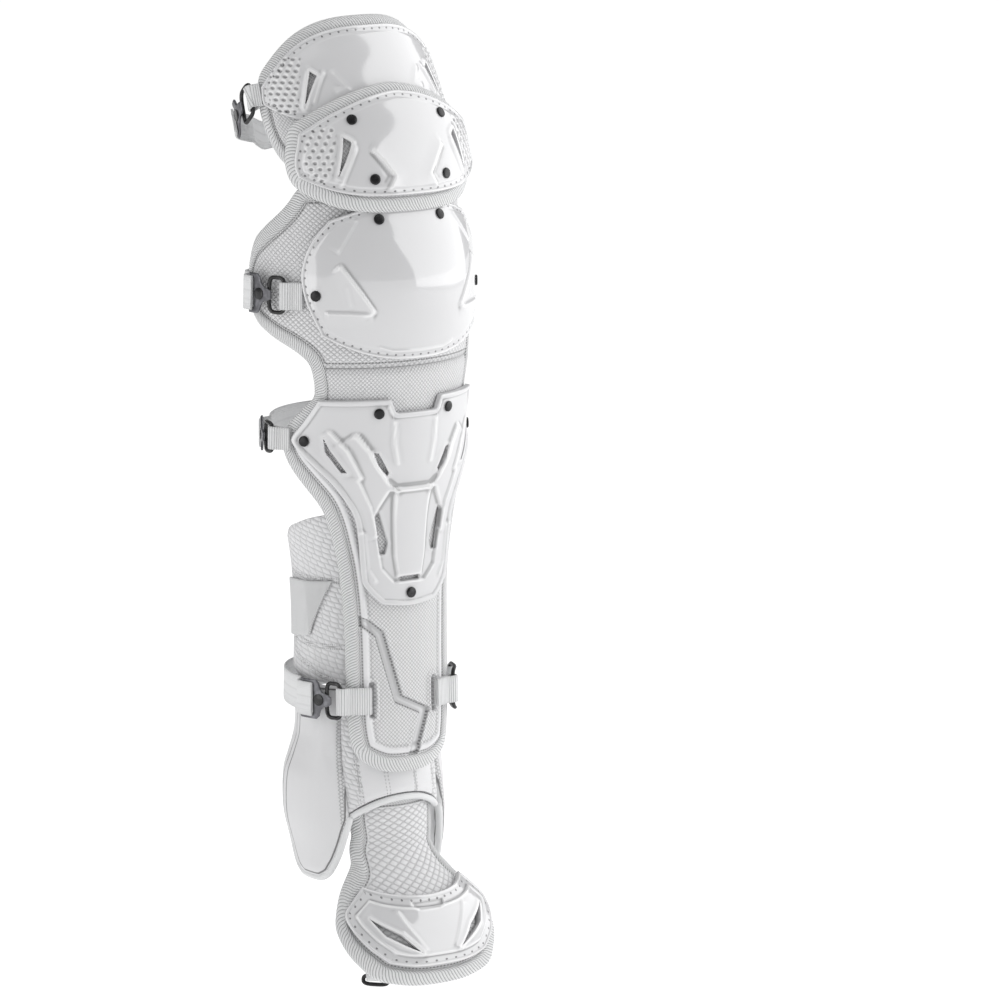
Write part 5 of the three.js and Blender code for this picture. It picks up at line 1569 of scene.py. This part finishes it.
class GUARD_OT_straps(GuardOperator, bpy.types.Operator):
    """Webbing tabs, rings, hooks and elastic straps"""
    bl_idname = "leg_guard.straps"
    bl_label = "Straps and hooks"

    def execute(self, context):
        self.start(context)
        s, form = self.sizes, self.leg
        self.webbing = webbing_finish("Webbing", self.colours.strap)
        elastic = webbing_finish("Elastic", self.colours.strap, 1.1, along_ribs=True)
        self.ring = metal_finish("Ring paint", (0.004, 0.004, 0.005), 0.0, 0.2)
        hook = metal_finish("Gunmetal", self.colours.metal, 0.9, 0.34)
        for strap in STRAPS:
            name, grip = strap["name"], Lane(form, strap, s).grip
            bars = strap["fold"] + grip, strap["bar"]
            self.add_end(name, strap, strap["root"], strap["fold"], bars, strap["width"] + TOUCH)
            plate = make_hook(name + "_hook_plate", form, strap, s)
            finish_piece(plate, "hook_gunmetal", hook, name + "_hook", angle=40)
            boss = hook_boss(name + "_hook_boss", form, strap, s)
            finish_piece(boss, "ring_black", self.ring, angle=40)
            band = make_strap(name + "_elastic", form, strap, s)
            finish_piece(band, "elastic_white", elastic, name + "_strap")
            if "far_root" in strap:
                bars = strap["far_fold"] - grip, strap["end"] + grip
                self.add_end(name + "_end", strap, strap["far_root"], strap["far_fold"], bars,
                             strap["width"] + 2 * WIRE)
        return {"FINISHED"}

    def add_end(self, name, strap, root, fold, bars, tall):
        """A webbing tab and the ring that it holds."""
        tab = make_tab(name + "_webbing", self.leg, strap, self.sizes, root, fold)
        finish_piece(tab, "webbing_white", self.webbing, name + "_tab")
        wire = make_ring(name + "_wire", self.leg, strap, self.sizes, *bars, tall)
        finish_piece(wire, "ring_black", self.ring, name + "_ring")


class GUARD_OT_toe_strap(GuardOperator, bpy.types.Operator):
    """Strap that passes under the foot through two clips"""
    bl_idname = "leg_guard.toe_strap"
    bl_label = "Toe strap"

    def execute(self, context):
        self.start(context)
        s, form = self.sizes, self.foot
        lie = -s.instep - 2 * s.clear - TOUCH - s.strap / 2
        sole, width, room = 0.028 * HEIGHT, 13, 0.9
        elastic = webbing_finish("Toe elastic", self.colours.strap, 1.1, along_ribs=True)
        ring = metal_finish("Clip paint", (0.012, 0.012, 0.013), 0.3, 0.25)
        path, across = [], []
        for side, sign in (("left", -1), ("right", 1)):
            turn = math.radians(sign * 36)
            around = np.array([math.cos(turn), math.sin(turn), 0])
            at = lambda share: form.wrap(np.array([turn]), np.array([share * HEIGHT]), lie)[0]
            edge = at(0.036)
            corner = np.array([edge[0] * 0.88, edge[1] + 9, sole])
            run = np.array([edge[0] * 0.5, edge[1] + 18, sole])
            places = [at(0.078), at(0.057), edge, corner, run]
            widths = [around, around, around, unit(around + [0, sign, 0]), np.array([0.0, sign, 0])]
            wide = unit(widths[2] * 0.55 + widths[3] * 0.45)
            out = np.cross(wide, unit(corner - edge))
            reach = np.array([width, s.strap]) / 2 + room + WIRE / 2
            angle = np.linspace(0, 2 * np.pi, 48, endpoint=False)
            loop = (edge + (corner - edge) * 0.45 + np.outer(boxy(np.cos(angle), 0.6) * reach[0], wide)
                    + np.outer(boxy(np.sin(angle), 0.6) * reach[1], out))
            clip = make_tube("toe_wire_" + side, even_loop(loop, 0.8), WIRE / 2 - 0.05)
            finish_piece(clip, "ring_black", ring, "toe_clip_" + side)
            if sign < 0:
                path, across = path + places, across + widths
            else:
                path, across = path + places[::-1], across + [-w for w in widths[::-1]]
        path, across = even_path(np.array(path), np.array(across), 0.8)
        band = make_band("toe_elastic", soften(path, 20), soften(across, 20), width, s.strap)
        finish_piece(band, "elastic_white", elastic, "toe_strap")
        return {"FINISHED"}


class GUARD_OT_rivets(GuardOperator, bpy.types.Operator):
    """Round-headed rivets on the plates"""
    bl_idname = "leg_guard.rivets"
    bl_label = "Rivets"

    def execute(self, context):
        self.start(context)
        form, s = self.leg, self.sizes
        finish = metal_finish("Rivet", (0.008, 0.008, 0.009), 0.4, 0.25)
        head = turned_head("rivet_head", s.rivet, [1.0, (0.45, 0.35), (0.9, 0.2)])
        add_bevel(head, 0.3)
        swelling = dome(form)
        offsets = {"upper": lambda a, h: self.upper_face + 0 * a,
                   "shin": lambda a, h: self.plate_face + 0 * a,
                   "main": lambda a, h: self.plate_face + swelling(form.flat(a, h))}
        places = [(name + "_" + side, sign * angle, share, face) for name, angle, share, face in RIVETS
                  for side, sign in (("left", -1), ("right", 1))]
        places.append(("shin_plate_rivet_foot", 0, 0.4213, "shin"))
        for node, angle, share, face in places:
            twin = copy_to(head, node + "_head", frame_at(form, angle, share * HEIGHT, offsets[face])
                           @ Matrix.Translation((0, 0, 0.0003)))
            finish_piece(twin, "rivet_black", finish, node, angle=40)
        bpy.data.objects.remove(head)
        return {"FINISHED"}


class GUARD_OT_stage(GuardOperator, bpy.types.Operator):
    """Floor, studio light and camera"""
    bl_idname = "leg_guard.stage"
    bl_label = "Stage"

    def execute(self, context):
        self.start(context)
        bpy.ops.object.select_all(action="DESELECT")
        bpy.ops.mesh.primitive_plane_add(size=60, location=(0, 0, cad_low[2] - 0.001))
        floor = bpy.context.active_object
        floor.name = "floor"
        bpy.ops.object.transform_apply(location=True, rotation=True, scale=True)
        paint = Paint("Pale floor")
        paint.set(Base_Color=(0.45, 0.45, 0.45), Roughness=0.8, Specular_IOR_Level=0.0,
                  Emission_Color=(1.0, 1.0, 1.0), Emission_Strength=0.85)
        floor.data.materials.append(paint.material)
        floor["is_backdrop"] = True
        scene = context.scene
        world = bpy.data.worlds.new("Studio")
        world.use_nodes = True
        background = next(n for n in world.node_tree.nodes if n.type == "BACKGROUND")
        background.inputs["Color"].default_value = (1.0, 1.0, 1.0, 1)
        background.inputs["Strength"].default_value = 0.35
        scene.world = world
        scene.view_settings.view_transform = "Standard"
        self.lamp("right softbox", (1.95, -1.15, 0.8), (0.0, 0.0, -0.1), (3.8, 2.6), 58)
        self.lamp("left softbox", (-2.3, 0.1, 0.5), (0.0, 0.0, -0.1), (1.4, 2.4), 16)
        self.lamp("top softbox", (0.0, 0.2, 2.6), (0.0, 0.0, 0.0), (4.0, 4.0), 26)
        self.camera(scene)
        return {"FINISHED"}

    @staticmethod
    def lamp(name, place, target, size, power):
        data = bpy.data.lights.new(name, "AREA")
        data.shape = "RECTANGLE"
        data.size, data.size_y = size
        data.energy = power
        lamp = bpy.data.objects.new(name, data)
        lamp.location = place
        lamp.rotation_euler = (Vector(target) - Vector(place)).to_track_quat("-Z", "Y").to_euler()
        bpy.context.collection.objects.link(lamp)

    @staticmethod
    def camera(scene):
        """The photograph's viewpoint: the leg's axis stands left of the frame's middle."""
        focal = VIEW_DISTANCE / PIXEL_SIZE
        turn, rise = math.radians(VIEW_TURN), math.radians(VIEW_RISE)
        target = Vector((0, 0, VIEW_LEVEL))
        place = target + VIEW_DISTANCE * Vector((math.sin(turn) * math.cos(rise),
                                                 -math.cos(turn) * math.cos(rise), math.sin(rise)))
        ahead = (target - place).normalized()
        side = ahead.cross(Vector((0, 0, 1))).normalized()
        ahead = (ahead - side * ((AXIS_COLUMN - FRAME_PIXELS / 2) / focal)).normalized()
        side = ahead.cross(Vector((0, 0, 1))).normalized()
        data = bpy.data.cameras.new("photo camera")
        data.sensor_width = 36
        data.lens = focal * data.sensor_width / FRAME_PIXELS
        data.clip_end = 100
        camera = bpy.data.objects.new("photo camera", data)
        turned = Matrix((side, side.cross(ahead), -ahead)).transposed().to_4x4()
        turned.translation = (place - Vector((0, 0, KNEE))) / 1000
        camera.matrix_world = turned
        scene.collection.objects.link(camera)
        scene.camera = camera


class GUARD_PT_panel(bpy.types.Panel):
    """Sizes, colours and pieces of the leg guard"""
    bl_idname = "GUARD_PT_panel"
    bl_label = "Leg Guard"
    bl_space_type = "VIEW_3D"
    bl_region_type = "UI"
    bl_category = "Leg Guard"

    def draw(self, context):
        for settings in (context.scene.leg_guard_sizes, context.scene.leg_guard_colours):
            column = self.layout.column()
            for key in settings.__annotations__:
                column.prop(settings, key)
        for operator in OPERATORS:
            self.layout.operator(operator.bl_idname)


OPERATORS = (GUARD_OT_stage, GUARD_OT_leg_pads, GUARD_OT_main_cap, GUARD_OT_shin_plate, GUARD_OT_thigh,
             GUARD_OT_upper_cap, GUARD_OT_wrap, GUARD_OT_flaps, GUARD_OT_instep, GUARD_OT_straps,
             GUARD_OT_toe_strap, GUARD_OT_rivets)


def register():
    for made in (GuardSizes, GuardColours, *OPERATORS, GUARD_PT_panel):
        bpy.utils.register_class(made)
    bpy.types.Scene.leg_guard_sizes = PointerProperty(type=GuardSizes)
    bpy.types.Scene.leg_guard_colours = PointerProperty(type=GuardColours)


def unregister():
    del bpy.types.Scene.leg_guard_colours
    del bpy.types.Scene.leg_guard_sizes
    for made in (GUARD_PT_panel, *reversed(OPERATORS), GuardColours, GuardSizes):
        bpy.utils.unregister_class(made)


def main():
    """Makes every piece in order, and works out the part's size before and after."""
    register()
    for operator in OPERATORS:
        getattr(bpy.ops.leg_guard, operator.bl_idname.split(".")[1])()
    low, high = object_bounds()
    {"cad": [list(cad_low), list(cad_high)], "visual": [list(low), list(high)]}


if __name__ == "__main__":
    main()
